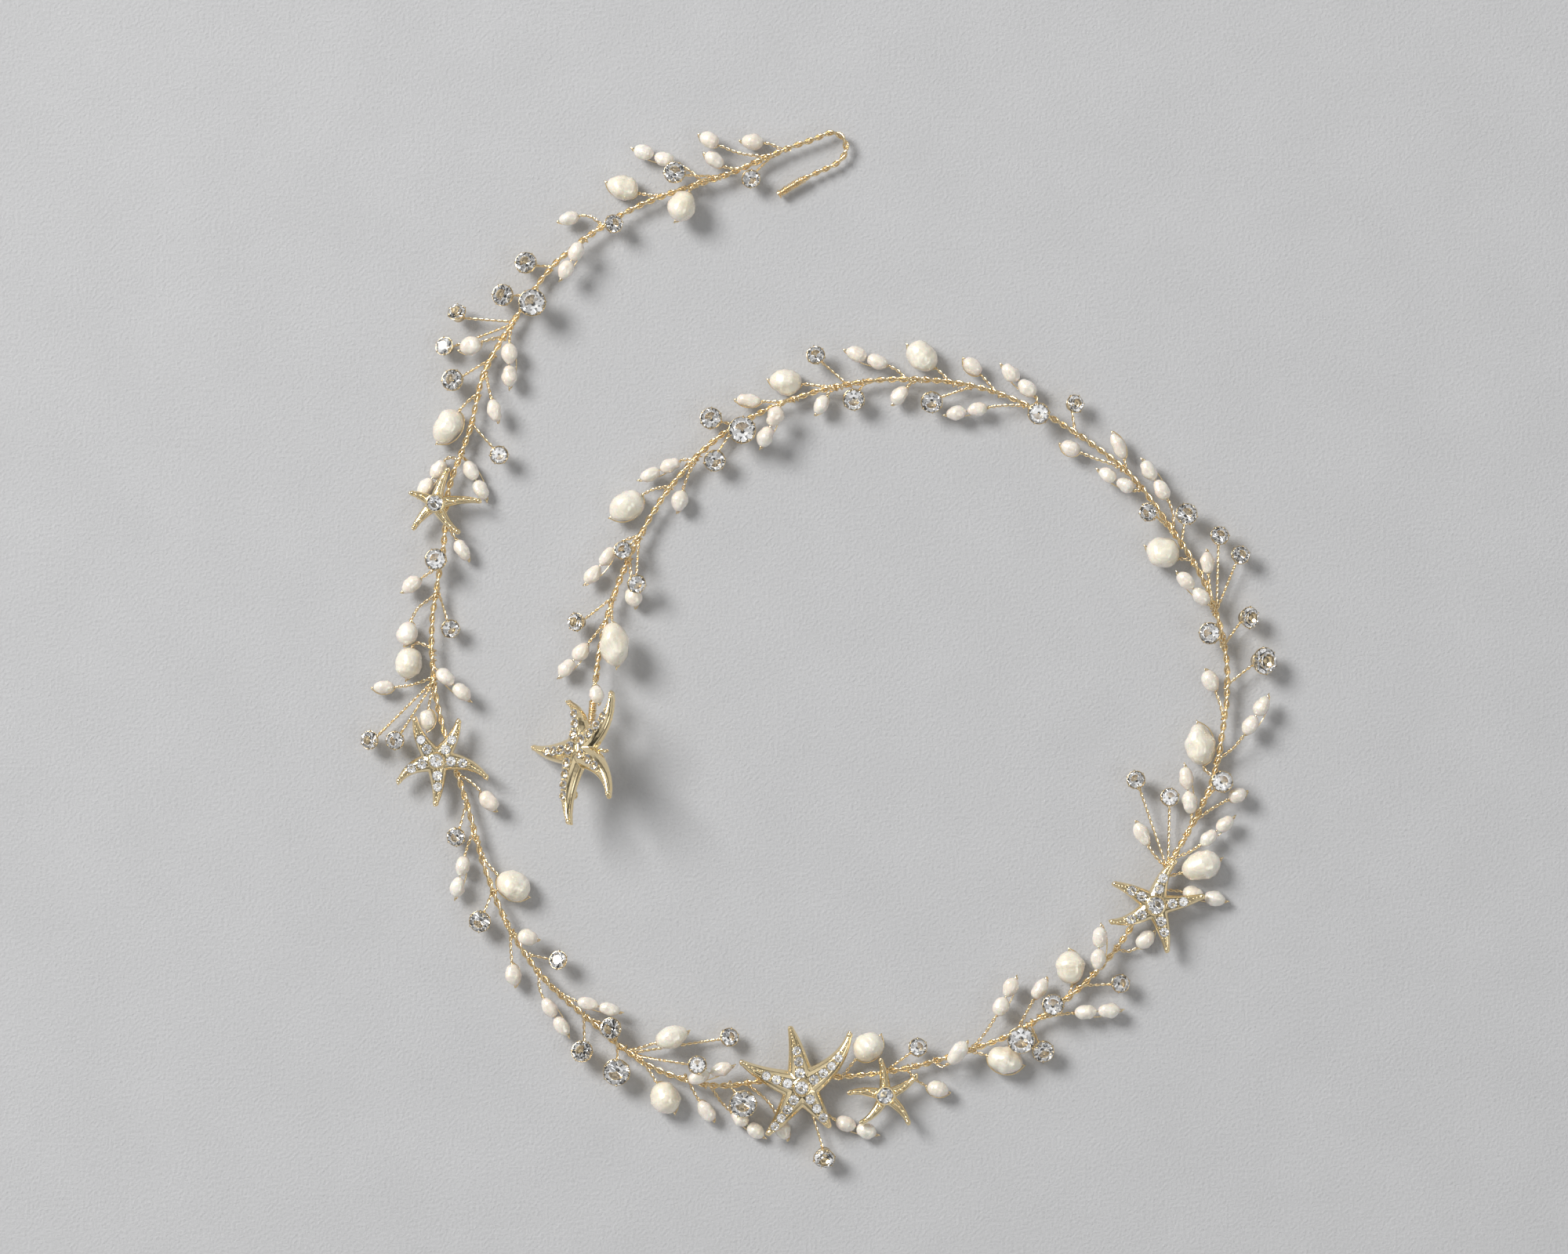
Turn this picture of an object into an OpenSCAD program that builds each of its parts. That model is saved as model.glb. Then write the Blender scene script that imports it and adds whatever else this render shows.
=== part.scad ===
// Bridal hair vine: a long twisted gilt wire, bent back into a hook at one end,
// with short side wires that carry freshwater pearls and cut stones in cups,
// and six cast starfish set with small stones. It lies on a flat surface at z = 0.

/* [Layout] */
// Side of one square of the layout grid, which places every piece of the vine
grid = 1.36; // [1.34:0.01:1.42]

/* [Wire] */
// Diameter of the main wire, a twist of several strands
stem_d = 1.5; // [1.2:0.1:1.6]
// Diameter of a side wire, a twist of two strands
sprig_d = 0.66; // [0.5:0.02:0.7]
// Diameter of the single strand that passes through a pearl
thread_d = 0.36; // [0.3:0.02:0.4]
// Diameter of the turned-over end that keeps a pearl on its strand
thread_end_d = 0.8; // [0.7:0.05:0.9]
// Length of the turned-over end
thread_end = 0.45; // [0.3:0.05:0.6]

/* [Pearls] */
// Length of a usual rice pearl
rice_l = 4.7; // [4.2:0.1:4.8]
// Width of a usual rice pearl
rice_w = 3.4; // [3:0.1:3.5]
// Length of a usual large pearl
large_l = 7.8; // [7:0.1:8]
// Width of a usual large pearl
large_w = 6.2; // [5.6:0.1:6.3]
// Diameter of the hole drilled through each pearl
pearl_bore_d = 0.66; // [0.6:0.02:0.7]
// Gap between two pearls on one strand, and between a pearl and the wire's thick ends
pearl_gap = 0.15; // [0.1:0.05:0.3]

/* [Stones in cups] */
// Width of a small cup
cup_small_d = 4.1; // [3.8:0.1:4.2]
// Width of a medium cup
cup_medium_d = 4.8; // [4.4:0.1:4.9]
// Width of a large cup
cup_large_d = 6; // [5.6:0.1:6.1]
// Wall of a cup at its rim
cup_wall = 0.2; // [0.15:0.05:0.3]
// Height of a cup's solid foot, which the side wire enters
cup_foot_h = 0.8; // [0.75:0.05:1]
// Gap between a stone and its setting
stone_fit = 0.1; // [0.1:0.02:0.16]

/* [Starfish] */
// Reach of the small starfish, from the middle to the tip of a usual arm
star_small_r = 8.4; // [8:0.1:8.8]
// Reach of the medium starfish
star_medium_r = 11; // [10.6:0.1:11.2]
// Reach of the large starfish
star_large_r = 15; // [14.6:0.1:15.2]
// Thickness of the small starfish in the middle
star_small_h = 1.4; // [1.2:0.1:1.8]
// Thickness of the medium starfish in the middle
star_medium_h = 2.6; // [2.4:0.1:3]
// Thickness of the large starfish in the middle
star_large_h = 3.2; // [3:0.1:3.4]
// Width of the first stone on an arm
arm_stone_d = 2.2; // [2:0.1:2.3]
// Depth of the channels that the stones stand in
channel_depth = 0.7; // [0.5:0.05:0.9]

/* [Hidden] */
// Sides of the main wire and the side wires, and of the cups and stones
stem_sides = 6;
sprig_sides = 5;
facets = 8;
// Smoothness of the turned pearls, latitude of their last ring and step between the rings
round_fn = 40;
last_ring = 68;
ring_step = 17;
// How far a side wire runs straight into its pearl, as a share of its way from the main
// wire, and how near its turn lies to the corner that the straight lines would make
straight_share = 0.4;
corner_share = 0.5;
// How far a cut runs past the surface that it opens
cut_past = 1;

// Proportions of a cut stone, as shares of its width
stone_table = 0.56;
stone_crown = 0.17;
stone_girdle = 0.05;
stone_pavilion = 0.4;
stone_culet = 0.06;
// Widths of a cup's foot and of its pocket's floor, as shares of its width
cup_foot = 0.62;
pocket_floor = 0.2;

// Columns of every table: place on the layout grid, and the height above the surface,
// all in squares of the grid. The height is that of the middle line for the wire, of the
// lowest point for a pearl, of the foot for a cup and of the back's middle for a starfish.
X = 0;
Y = 1;
HEIGHT = 2;
// Place on the layout grid that lies at the model's origin
middle = [0.52, -0.45];

// Middle line of the main wire from the tip of its hook to the last starfish
HOOK = [
    [-5.9, 71.9, 1.4],
    [-3.8, 73.2, 1.5],
    [-1.6, 74.5, 1.6],
    [0.9, 75.7, 1.6],
    [2.9, 76.6, 1.6],
    [4.3, 77.7, 1.6],
    [4.9, 79.2, 1.7],
    [4.6, 80.6, 1.8],
    [3.6, 81.5, 1.9],
    [2.2, 81.7, 1.9],
    [-0.5, 80.6, 2]
];
STEM = [
    [-4.75, 79.1, 2.1],
    [-14.5, 74.9, 2.4],
    [-25.4, 71.25, 2.4],
    [-33.75, 66.9, 2.4],
    [-41.9, 60.4, 2.2],
    [-48.1, 51.6, 2.1],
    [-52.75, 43.5, 2.2],
    [-55, 34.5, 2.2],
    [-58.4, 24.9, 2.1],
    [-59.25, 15.5, 2.2],
    [-61, 4.25, 2.4],
    [-60.75, -6, 2.3],
    [-58.75, -15.1, 2.1],
    [-55.4, -25.5, 2.2],
    [-52.75, -35.1, 2.4],
    [-49.1, -44.25, 2.4],
    [-43.75, -52.4, 2.4],
    [-36.1, -59.5, 2.3],
    [-27, -66.6, 2.2],
    [-16.75, -70, 2.1],
    [-7.5, -69.25, 2.1],
    [3, -68.75, 2.1],
    [13, -67.6, 2.1],
    [22.5, -65.1, 2.2],
    [32.5, -61.25, 2.3],
    [40.6, -55.75, 2.3],
    [47, -49.4, 2.2],
    [51.9, -42.25, 2.1],
    [56.4, -34.6, 2.2],
    [60.5, -27.6, 2.3],
    [63.4, -20.75, 2.4],
    [65, -12.6, 2.4],
    [65.6, -4.75, 2.4],
    [64.5, 3, 2.3],
    [61.25, 11.5, 2.3],
    [56.25, 19.25, 2.4],
    [50.6, 26.75, 2.4],
    [43.9, 32.25, 2.4],
    [35.6, 37.4, 2.3],
    [26.75, 41, 2.3],
    [17.5, 42.4, 2.4],
    [8, 42.1, 2.4],
    [-1.25, 40.1, 2.4],
    [-10, 36.5, 2.3],
    [-17.25, 31.75, 2.3],
    [-23.75, 24.4, 2.4],
    [-28.5, 16.4, 2.4],
    [-31.9, 8.6, 2.3],
    [-34, 1.1, 2.8],
    [-35, -5.75, 4.4],
    [-35.6, -12.4, 6.3]
];

// More columns for the pearls: direction of the hole away from the main wire in degrees,
// shares of the usual length and width, and where the side wire leaves the main wire,
// counted in points of its middle line
TURN = 3;
LONG = 4;
WIDE = 5;
AT = 6;

// Single rice pearls
RICE = [
    [-10, 80.3, 0.9, 175, 1.03, 1.05, 0.05],
    [-16.9, 80.6, 1.3, 150, 0.96, 1.05, 0.3],
    [-16.1, 77.4, 1.7, 145, 1, 0.95, 0.55],
    [-39.25, 68.1, 1.1, 195, 0.96, 0.9, 3],
    [-54.9, 47.75, 1.8, 200, 1.03, 1.2, 5.3],
    [-51.1, 37.5, 2.1, 285, 1.07, 0.9, 5.95],
    [-56.25, 15.25, 0.9, 300, 1.07, 0.9, 8.6],
    [-64.3, 9.7, 1.1, 215, 1.03, 1, 9.25],
    [-65, 2, 0.6, 255, 1.1, 1.3, 9.65],
    [-68.75, -6.6, 0.9, 180, 0.96, 0.85, 10.9],
    [-61.8, -11.8, 0.7, 265, 0.96, 1.05, 11.05],
    [-52, -24.7, 1.2, 310, 1.07, 1.1, 12.5],
    [-45.75, -46.4, 2.5, 350, 0.96, 1.1, 14.85],
    [-48.1, -52.4, 1.1, 277, 1, 1.05, 15.1],
    [-17.4, -74.1, 0.6, 305, 1.1, 1, 18.65],
    [-5.1, -77.2, 0.2, 290, 0.9, 1, 19.6],
    [19.5, -70.6, 0.7, 345, 1.03, 1.05, 22.15],
    [22.6, -64.75, 2.9, 50, 1.28, 1.05, 22.6],
    [35.75, -54.6, 1.3, 60, 1.07, 0.9, 23.95],
    [52.6, -46.8, 0.2, 45, 1.03, 1, 26.15],
    [52, -30, 1.2, 118, 1.18, 0.95, 27.9],
    [67.2, -23.8, 1.4, 25, 0.86, 1, 28.95],
    [62.4, 13.25, 1.3, 95, 1.03, 0.9, 33.4],
    [62.9, -5.6, 1, 115, 1.03, 1.1, 31.1],
    [40.6, 31.5, 1.1, 155, 0.93, 1, 36.35],
    [48.2, 31.8, 1.5, 115, 1.28, 0.85, 36.2],
    [13.4, 39.9, 1, 230, 1, 1, 40.05],
    [25, 44.5, 1.1, 135, 1, 1, 38.75],
    [0.9, 38.4, 1.3, 238, 0.96, 0.9, 41.5],
    [-10.6, 39.1, 1.5, 175, 1.15, 0.85, 42.3],
    [-21.6, 23.1, 0.9, 255, 1, 1.05, 44.25],
    [-29, 7.75, 0.7, 278, 0.93, 1.05, 46.3],
    [-34.75, -7.7, 5.8, 280, 0.86, 0.9, 48.9]
];

// Pairs of rice pearls on one strand: the place is the middle of the pair
PAIRS = [
    [-25.7, 78.1, 0.9, 161, 0.96, 0.97, 1.3],
    [-38.9, 61.3, 3, 240, 0.94, 0.95, 3.4],
    [-48.75, 44.75, 1.3, 270, 1, 1.02, 5],
    [-61.1, 26.7, 0.2, 235, 0.98, 0.95, 7.5],
    [-54.1, 26.4, 0.3, 297, 0.98, 0.95, 7.45],
    [-57.6, -6.2, 1.9, 317, 1, 0.98, 10.7],
    [-56.6, -36.75, 1, 257, 0.96, 0.95, 13.4],
    [-41.4, -59.1, 1.1, 303, 1, 0.9, 15.95],
    [-34.5, -57.4, 2, 346, 1, 0.85, 16.2],
    [-16.75, -68, 2.9, 19, 1.05, 0.9, 18.65],
    [-10.75, -76.3, 0.1, 323, 0.9, 0.95, 19],
    [6.5, -76.7, 0.1, 341, 0.97, 1, 20.5],
    [30.3, -55.9, 1.4, 63, 0.95, 1, 23.25],
    [45.1, -48.1, 3.1, 86, 0.98, 0.98, 25.6],
    [44.9, -58.2, 1.2, 4, 1.05, 0.95, 24.3],
    [59.3, -23, 1.8, 98, 1.08, 0.95, 28.7],
    [63.9, -29.5, 1.5, 40, 0.96, 0.9, 28.1],
    [61.9, -39.9, 0.1, 348, 1, 1, 27.4],
    [60.1, 9.1, 3.1, 134, 0.98, 0.95, 33.4],
    [70.1, -11.1, 1.8, 59, 1, 0.98, 30.3],
    [47.9, 26.4, 1.7, 150, 0.9, 0.9, 35.75],
    [54.1, 26.4, 1.4, 123, 1.03, 0.98, 34.85],
    [8.2, 45.9, 1.4, 160, 1, 0.98, 40.3],
    [24.1, 37.4, 1.3, 190, 0.95, 0.9, 38.25],
    [32.4, 42.25, 1.4, 137, 1, 0.98, 38.1],
    [-7.2, 34.9, 3.2, 245, 1, 1.05, 42.25],
    [-24.75, 28, 1.3, 205, 0.98, 0.9, 44.3],
    [-34.3, 12.8, 1.2, 230, 1.03, 0.9, 45.85],
    [-38.5, -2.25, 1, 229, 0.98, 0.95, 47.55]
];

// Large pearls
LARGE = [
    [-30.7, 73, 0, 160, 0.9, 0.86, 1.55],
    [-21.25, 70, 1.6, 245, 0.87, 0.98, 1.05],
    [-58.5, 34.9, 0, 235, 1.04, 0.98, 6.35],
    [-64.75, -2.75, 0, 260, 0.88, 0.98, 10.45],
    [-48.1, -38.2, 0, 325, 1, 1, 13.6],
    [-22.9, -62.25, 1.7, 20, 0.93, 0.86, 17.7],
    [-23.9, -72, 0, 300, 0.93, 1, 17.95],
    [8.4, -63.9, 0, 45, 0.9, 1, 21.15],
    [30.2, -66, 0, 345, 1, 0.98, 23.15],
    [40.6, -51.2, 0, 95, 0.93, 1, 24.8],
    [61.4, -35, 0, 20, 1.12, 1.03, 27.7],
    [55.3, 14.9, 0, 160, 0.94, 1.08, 34.3],
    [61.25, -15.7, 0, 98, 1.16, 1, 30],
    [16.95, 46.1, 0, 140, 0.95, 1, 39.55],
    [-4.75, 42.1, 0, 172, 0.9, 0.88, 41.45],
    [-30.1, 22.3, 0, 215, 1.04, 1, 44.85],
    [-32, 0.25, 2.8, 275, 1.22, 1.03, 47.15]
];

// More columns for the cups: direction and angle of the lean in degrees, and where the
// side wire leaves the main wire
LEAN_TO = 3;
LEAN = 4;
CUP_AT = 5;
SMALL_CUPS = [
    [-10.4, 74.6, 1.4, 300, 10, 0.2],
    [-32.4, 67, 2.5, 30, 12, 2.8],
    [-56.75, 52.25, 1.8, 110, 35, 5],
    [-58.5, 47.4, 1, 150, 25, 5.05],
    [-50.4, 30.5, 2, 300, 5, 6.9],
    [-58.3, 2.9, 1.4, 320, 10, 9.55],
    [-70.4, -15, 1.4, 180, 20, 10.95],
    [-66.7, -15, 1.6, 200, 8, 10.97],
    [-57, -30.25, 1.4, 220, 10, 12.95],
    [-40.45, -50.3, 1.8, 150, 20, 15.6],
    [-13.9, -62.5, 1, 40, 10, 17.75],
    [-18.75, -66.75, 5.5, 90, 6, 17.8],
    [16.2, -64.1, 1.8, 60, 8, 21.8],
    [48.3, -53.85, 1.6, 20, 10, 25.25],
    [51.2, -21.55, 1.8, 130, 10, 27.9],
    [56.4, -24.25, 1.6, 90, 5, 27.95],
    [64.2, 17.3, 2, 60, 10, 33.2],
    [67.4, 14.25, 1.8, 40, 12, 33.25],
    [40.7, 38.3, 1.8, 20, 25, 37.3],
    [53.3, 21.4, 2.6, 200, 12, 34.85],
    [0.1, 46, 1.8, 100, 10, 41.3],
    [-30.5, 15, 2.5, 120, 8, 45.75],
    [-28.6, 10, 3.4, 320, 8, 45.9],
    [-37.3, 3.8, 1.8, 180, 30, 47.1]
];
MEDIUM_CUPS = [
    [-22.4, 75, 2.7, 90, 10, 1.05],
    [-45.9, 60.65, 1.6, 120, 12, 4],
    [-49.4, 55.7, 1.6, 160, 12, 4.5],
    [-57.5, 42.15, 1.6, 150, 10, 5.7],
    [-60.3, 13.6, 2.5, 120, 5, 9.1],
    [-53.25, -43.6, 1.6, 240, 10, 14.4],
    [-32.1, -60.9, 1.8, 180, 15, 16.95],
    [-36.8, -64.9, 1.4, 135, 15, 16.9],
    [1.4, -80.7, 1.6, 270, 30, 20.5],
    [36.1, -64.3, 1.4, 300, 10, 24.2],
    [37.8, -57.45, 2.3, 90, 8, 24.45],
    [64.6, -21.75, 2.5, 60, 5, 29.4],
    [68.2, 4.5, 1.8, 0, 30, 32.6],
    [63, 2, 2.5, 180, 8, 32.7],
    [58.9, 20.7, 2.2, 60, 10, 34.6],
    [18.5, 39.1, 1.8, 270, 10, 39.2],
    [35.6, 37.1, 2.5, 240, 5, 37.95],
    [6.1, 39.45, 1.6, 270, 8, 41],
    [-16.5, 36, 1.6, 120, 8, 43.3],
    [-16.2, 29.75, 1.6, 300, 10, 43.45]
];
LARGE_CUPS = [
    [-44.9, 54.4, 2.9, 120, 6, 4.6],
    [-31.5, -67.6, 1.4, 240, 8, 17.5],
    [-11.4, -72.6, 2.1, 250, 8, 19.3],
    [32.75, -62.5, 2.5, 260, 6, 24],
    [70.45, -2.4, 1.8, 0, 28, 31.8],
    [-11.6, 34.1, 2.5, 100, 6, 43.2]
];

// Size groups of the starfish
SMALL = 0;
MEDIUM = 1;
LARGEST = 2;
// More columns for the starfish: direction and angle of the lean in degrees as for the
// cups, size group, and width of the middle stone
SIZE = 5;
HEART = 6;
STARS = [
    [-60.5, 22.7, 2.8, 0, 0, SMALL, 3.4],
    [-60.3, -18.3, 2.8, 0, 0, MEDIUM, 2.9],
    [-2.2, -70.25, 2.8, 0, 0, LARGEST, 2.9],
    [11.1, -71.6, 2.8, 0, 0, SMALL, 3.5],
    [54.1, -41.3, 2.8, 0, 0, MEDIUM, 3.6],
    [-37.3, -16.75, 7.5, 162.6, 45, LARGEST, 2.9]
];
// Columns of an arm: direction in degrees at its root and at its tip, reach as a share of
// the size group's reach, and number of stones
ROOT = 0;
TIP = 1;
REACH = 2;
STONES = 3;
ARMS = [
    [[75, 69, 0.98, 0], [150, 158, 0.72, 0], [222, 230, 0.9, 0], [298, 310, 1, 0], [10, 2, 1.2, 0]],
    [[130, 116, 0.97, 2], [50, 62, 0.94, 2], [190, 211, 0.9, 2], [275, 268, 0.9, 2], [360, 340, 1.08, 2]],
    [[96, 101, 0.9, 3], [31, 49, 1.07, 4], [164, 157, 0.97, 3], [238, 234, 0.86, 4], [306, 305, 0.72, 3]],
    [[91, 98, 0.97, 0], [22, 34, 1, 0], [165, 177, 0.98, 0], [242, 227, 0.97, 0], [322, 309, 0.98, 0]],
    [[79, 65, 0.98, 2], [146, 153, 0.96, 2], [6, 11, 1, 2], [215, 199, 0.97, 2], [290, 284, 0.97, 2]],
    [[85, 113, 0.82, 3], [30, 56, 1.01, 4], [182, 172, 0.94, 3], [252, 268, 1.09, 4], [335, 313, 1.02, 3]]
];

// Sizes of the size groups: reach and thickness, an arm's half width at its root and its
// tip as shares of the reach, and the thickness that its tip keeps as a share
star_r = [star_small_r, star_medium_r, star_large_r];
star_h = [star_small_h, star_medium_h, star_large_h];
arm_root_half = [0.11, 0.165, 0.185];
arm_tip_half = [0.055, 0.045, 0.035];
arm_tip_h = [0.7, 0.45, 0.42];
// Where an arm's shoulders start and end, as shares of its thickness and half width
shoulder_start = 0.55;
shoulder_end = 0.65;
// Distances from the middle to an arm's first stone and from one stone to the next,
// as shares of the width of the stones
first_stone = 1.25;
next_stone = 1.15;
// Width of each stone on an arm as a share of the one before it
stone_shrink = 0.95;
// Sections along an arm
arm_steps = 3;
// How far the boss round the middle stone stands above the arms, and how far its pocket
// goes below the channels
boss_rise = 0.12;
pocket_drop = 0.1;

function on_grid(row, above = 0) =
    grid * [row[X] - middle.x, row[Y] - middle.y, row[HEIGHT]] + [0, 0, above];
function on_stem(at) =
    let (k = min(floor(at), len(STEM) - 2), share = at - k)
    (1 - share) * on_grid(STEM[k]) + share * on_grid(STEM[k + 1]);
function heading(turn) = [cos(turn), sin(turn), 0];
function unit(v) = v / norm(v);
// Radius to the corners of a regular shape that is so wide across its flats
function corner_r(width) = width / 2 / cos(180 / facets);

// Regular shape across the direction t round the point p
function ring(p, t, r, sides) =
    let (a = unit(cross(t, [0, 0, 1])), b = cross(a, t))
    [for (k = [0:sides - 1]) p + r * (cos(360 * k / sides) * a + sin(360 * k / sides) * b)];

// Solid through a row of shapes, each with the same number of corners
module loft(shapes) {
    last = len(shapes) - 1;
    sides = len(shapes[0]);
    walls = [
        for (i = [0:last - 1], k = [0:sides - 1])
            let (a = i * sides + k, b = i * sides + (k + 1) % sides)
            each [[a, b, b + sides], [a, b + sides, a + sides]]
    ];
    first_end = [for (k = [sides - 1:-1:0]) k];
    last_end = [for (k = [0:sides - 1]) last * sides + k];
    polyhedron(
        points = [for (shape = shapes) each shape],
        faces = concat(walls, [first_end, last_end]),
        convexity = 6
    );
}

// Tube through a list of points, with a radius for each
module tube(points, radii, sides) {
    last = len(points) - 1;
    course = [for (i = [0:last]) unit(points[min(i + 1, last)] - points[max(i - 1, 0)])];
    loft([for (i = [0:last]) ring(points[i], course[i], radii[i], sides)]);
}

// Corners of a level regular shape with flats that face the stones' flats
function level_ring(z, width) = [
    for (k = [0.5:facets]) corner_r(width) * heading(360 * k / facets) + [0, 0, z]
];

// Upright or tapered block between two level shapes
module block(low, low_width, high, high_width) {
    loft([level_ring(high, high_width), level_ring(low, low_width)]);
}

// Places a cup or a starfish and leans it towards a direction
module lean(row) {
    translate(on_grid(row)) rotate([0, 0, row[LEAN_TO]]) rotate([0, row[LEAN], 0])
        rotate([0, 0, -row[LEAN_TO]]) children();
}

module main_wire() {
    points = [for (row = concat(HOOK, STEM)) on_grid(row)];
    tube(points, [for (p = points) stem_d / 2], stem_sides);
}

// Side wire that leaves the main wire, passes through pearls and is turned over behind them
module pearl_sprig(row, half, width) {
    away = heading(row[TURN]);
    centre = on_grid(row, above = width / 2);
    start = on_stem(row[AT]);
    mouth = centre - (half + pearl_gap) * away;
    back = centre + (half + pearl_gap) * away;
    corner = mouth - straight_share * norm(mouth - start) * away;
    turn_in = corner_share * corner + (1 - corner_share) * (start + mouth) / 2;
    tube(
        [start, turn_in, mouth, back, back + thread_end * away],
        [sprig_d, sprig_d, thread_d, thread_d, thread_end_d] / 2,
        sprig_sides
    );
}

// Side wire that leaves the main wire and ends in the foot of a cup
module cup_sprig(row) {
    start = on_stem(row[CUP_AT]);
    foot = on_grid(row, above = cup_foot_h / 2);
    bend = [(start.x + foot.x) / 2, (start.y + foot.y) / 2, foot.z];
    tube([start, bend, foot], [sprig_d, sprig_d, sprig_d] / 2, sprig_sides);
}

function stone_in(cup_d) = cup_d - 2 * (cup_wall + stone_fit);
// Height of a cup's rim. The lower edge of the stone's girdle is one fit above it.
function cup_h(cup_d) = cup_foot_h + stone_pavilion * stone_in(cup_d);

module cup(d) {
    rim = cup_h(d);
    difference() {
        block(0, cup_foot * d, rim, d);
        block(cup_foot_h, pocket_floor * d, rim, d - 2 * cup_wall);
    }
}

module wire() {
    color("goldenrod") {
        main_wire();
        for (row = RICE) pearl_sprig(row, rice_l * row[LONG] / 2, rice_w * row[WIDE]);
        for (row = PAIRS) pearl_sprig(row, rice_l * row[LONG] + pearl_gap / 2, rice_w * row[WIDE]);
        for (row = LARGE) pearl_sprig(row, large_l * row[LONG] / 2, large_w * row[WIDE]);
        for (row = concat(SMALL_CUPS, MEDIUM_CUPS, LARGE_CUPS)) cup_sprig(row);
        for (row = SMALL_CUPS) lean(row) cup(cup_small_d);
        for (row = MEDIUM_CUPS) lean(row) cup(cup_medium_d);
        for (row = LARGE_CUPS) lean(row) cup(cup_large_d);
    }
}

// Drilled pearl along the x axis, an egg shape turned round its own hole
module pearl(l, w) {
    bore = pearl_bore_d / 2;
    mouth = l / 2 * sqrt(1 - pow(2 * bore / w, 2));
    side = [for (a = [-last_ring:ring_step:last_ring]) [w / 2 * cos(a), l / 2 * sin(a)]];
    rotate([0, 90, 0]) rotate_extrude($fn = round_fn)
        polygon(concat([[bore, -mouth]], side, [[bore, mouth]]));
}

// Places a pearl so that its lowest point has the table's height
module threaded(row, width, along = 0) {
    translate(on_grid(row, above = width / 2) + along * heading(row[TURN]))
        rotate([0, 0, row[TURN]]) children();
}

module rice_pearls() {
    color("seashell") for (row = RICE) {
        w = rice_w * row[WIDE];
        threaded(row, w) pearl(rice_l * row[LONG], w);
    }
}

module rice_pearl_pairs() {
    color("mistyrose") for (row = PAIRS, side = [-1, 1]) {
        l = rice_l * row[LONG];
        w = rice_w * row[WIDE];
        threaded(row, w, side * (l + pearl_gap) / 2) pearl(l, w);
    }
}

module large_pearl(row) {
    w = large_w * row[WIDE];
    color("ivory") threaded(row, w) pearl(large_l * row[LONG], w);
}

// Cut stone with its girdle's lower edge at z = 0: a flat table, eight crown facets,
// a thin girdle and eight pavilion facets down to a small culet
module stone(d) {
    half = d / 2;
    side = [
        [half * stone_table, (stone_girdle + stone_crown) * d],
        [half, stone_girdle * d],
        [half, 0],
        [half * stone_culet, -stone_pavilion * d]
    ];
    outline = concat(side, [for (i = [len(side) - 1:-1:0]) [-side[i].x, side[i].y]]);
    intersection_for (k = [0:facets / 2 - 1]) {
        rotate([90, 0, k * 360 / facets])
            linear_extrude(height = 2 * d, center = true) polygon(outline);
    }
}

module cup_stone(row, cup_d) {
    lean(row) translate([0, 0, cup_h(cup_d) + stone_fit]) stone(stone_in(cup_d));
}

module small_stones() {
    color("white") for (row = SMALL_CUPS) cup_stone(row, cup_small_d);
}

module medium_stones() {
    color("aliceblue") for (row = MEDIUM_CUPS) cup_stone(row, cup_medium_d);
}

module large_stone(row) {
    color("lavender") cup_stone(row, cup_large_d);
}

// Middle line of an arm, its half width and its thickness, at a share of its length
function arm_turn(arm, s) = arm[ROOT] + (arm[TIP] - arm[ROOT]) * s * s;
function arm_place(arm, size, s) = s * arm[REACH] * star_r[size] * heading(arm_turn(arm, s));
function arm_half(size, s) = star_r[size] * (arm_root_half[size] * (1 - s) + arm_tip_half[size]);
function arm_h(size, s) = star_h[size] * (1 - (1 - arm_tip_h[size]) * s);

// Outline across an arm: upright edges, sloping shoulders and a narrow top
function arm_section(arm, size, s) =
    let (
        p = arm_place(arm, size, s),
        side = heading(arm_turn(arm, s) + 90) * arm_half(size, s),
        h = [0, 0, arm_h(size, s)]
    )
    [
        p - side, p - side + shoulder_start * h, p - shoulder_end * side + h,
        p + shoulder_end * side + h, p + side + shoulder_start * h, p + side
    ];

module arm_body(arm, size) {
    loft([for (k = [0:arm_steps]) arm_section(arm, size, k / arm_steps)]);
}

// Stones of an arm, counted from 0: width, and distance from the middle
function arm_stone(k) = arm_stone_d * pow(stone_shrink, k);
function stone_reach(heart, k) =
    k < 1
    ? (heart + arm_stone_d) / 2 * first_stone
    : stone_reach(heart, k - 1) + (arm_stone(k - 1) + arm_stone(k)) / 2 * next_stone;
function stone_share(arm, size, heart, k) = stone_reach(heart, k) / arm[REACH] / star_r[size];

// Level of the floor of the channel that an arm's stones stand in
function channel_floor(size, s) = arm_h(size, s) - channel_depth;

// Outline across a channel
function channel_section(arm, size, s, width) =
    let (
        p = arm_place(arm, size, s),
        side = heading(arm_turn(arm, s) + 90) * (width / 2 + stone_fit),
        low = [0, 0, channel_floor(size, s)],
        high = [0, 0, star_h[size] + cut_past]
    )
    [p - side + low, p - side + high, p + side + high, p + side + low];

// Channel from the middle to just past the last stone
module arm_channel(arm, size, heart) {
    last = arm[STONES] - 1;
    end = stone_share(arm, size, heart, last)
        + (arm_stone(last) / 2 + stone_fit) / arm[REACH] / star_r[size];
    loft([
        channel_section(arm, size, 0, arm_stone(0)),
        for (k = [0:last]) channel_section(arm, size, stone_share(arm, size, heart, k), arm_stone(k)),
        channel_section(arm, size, end, arm_stone(last))
    ]);
}

// Level of the floor under the middle stone
function heart_floor(row) =
    row[SIZE] == SMALL ? star_small_h : channel_floor(row[SIZE], 0) - pocket_drop;

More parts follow.
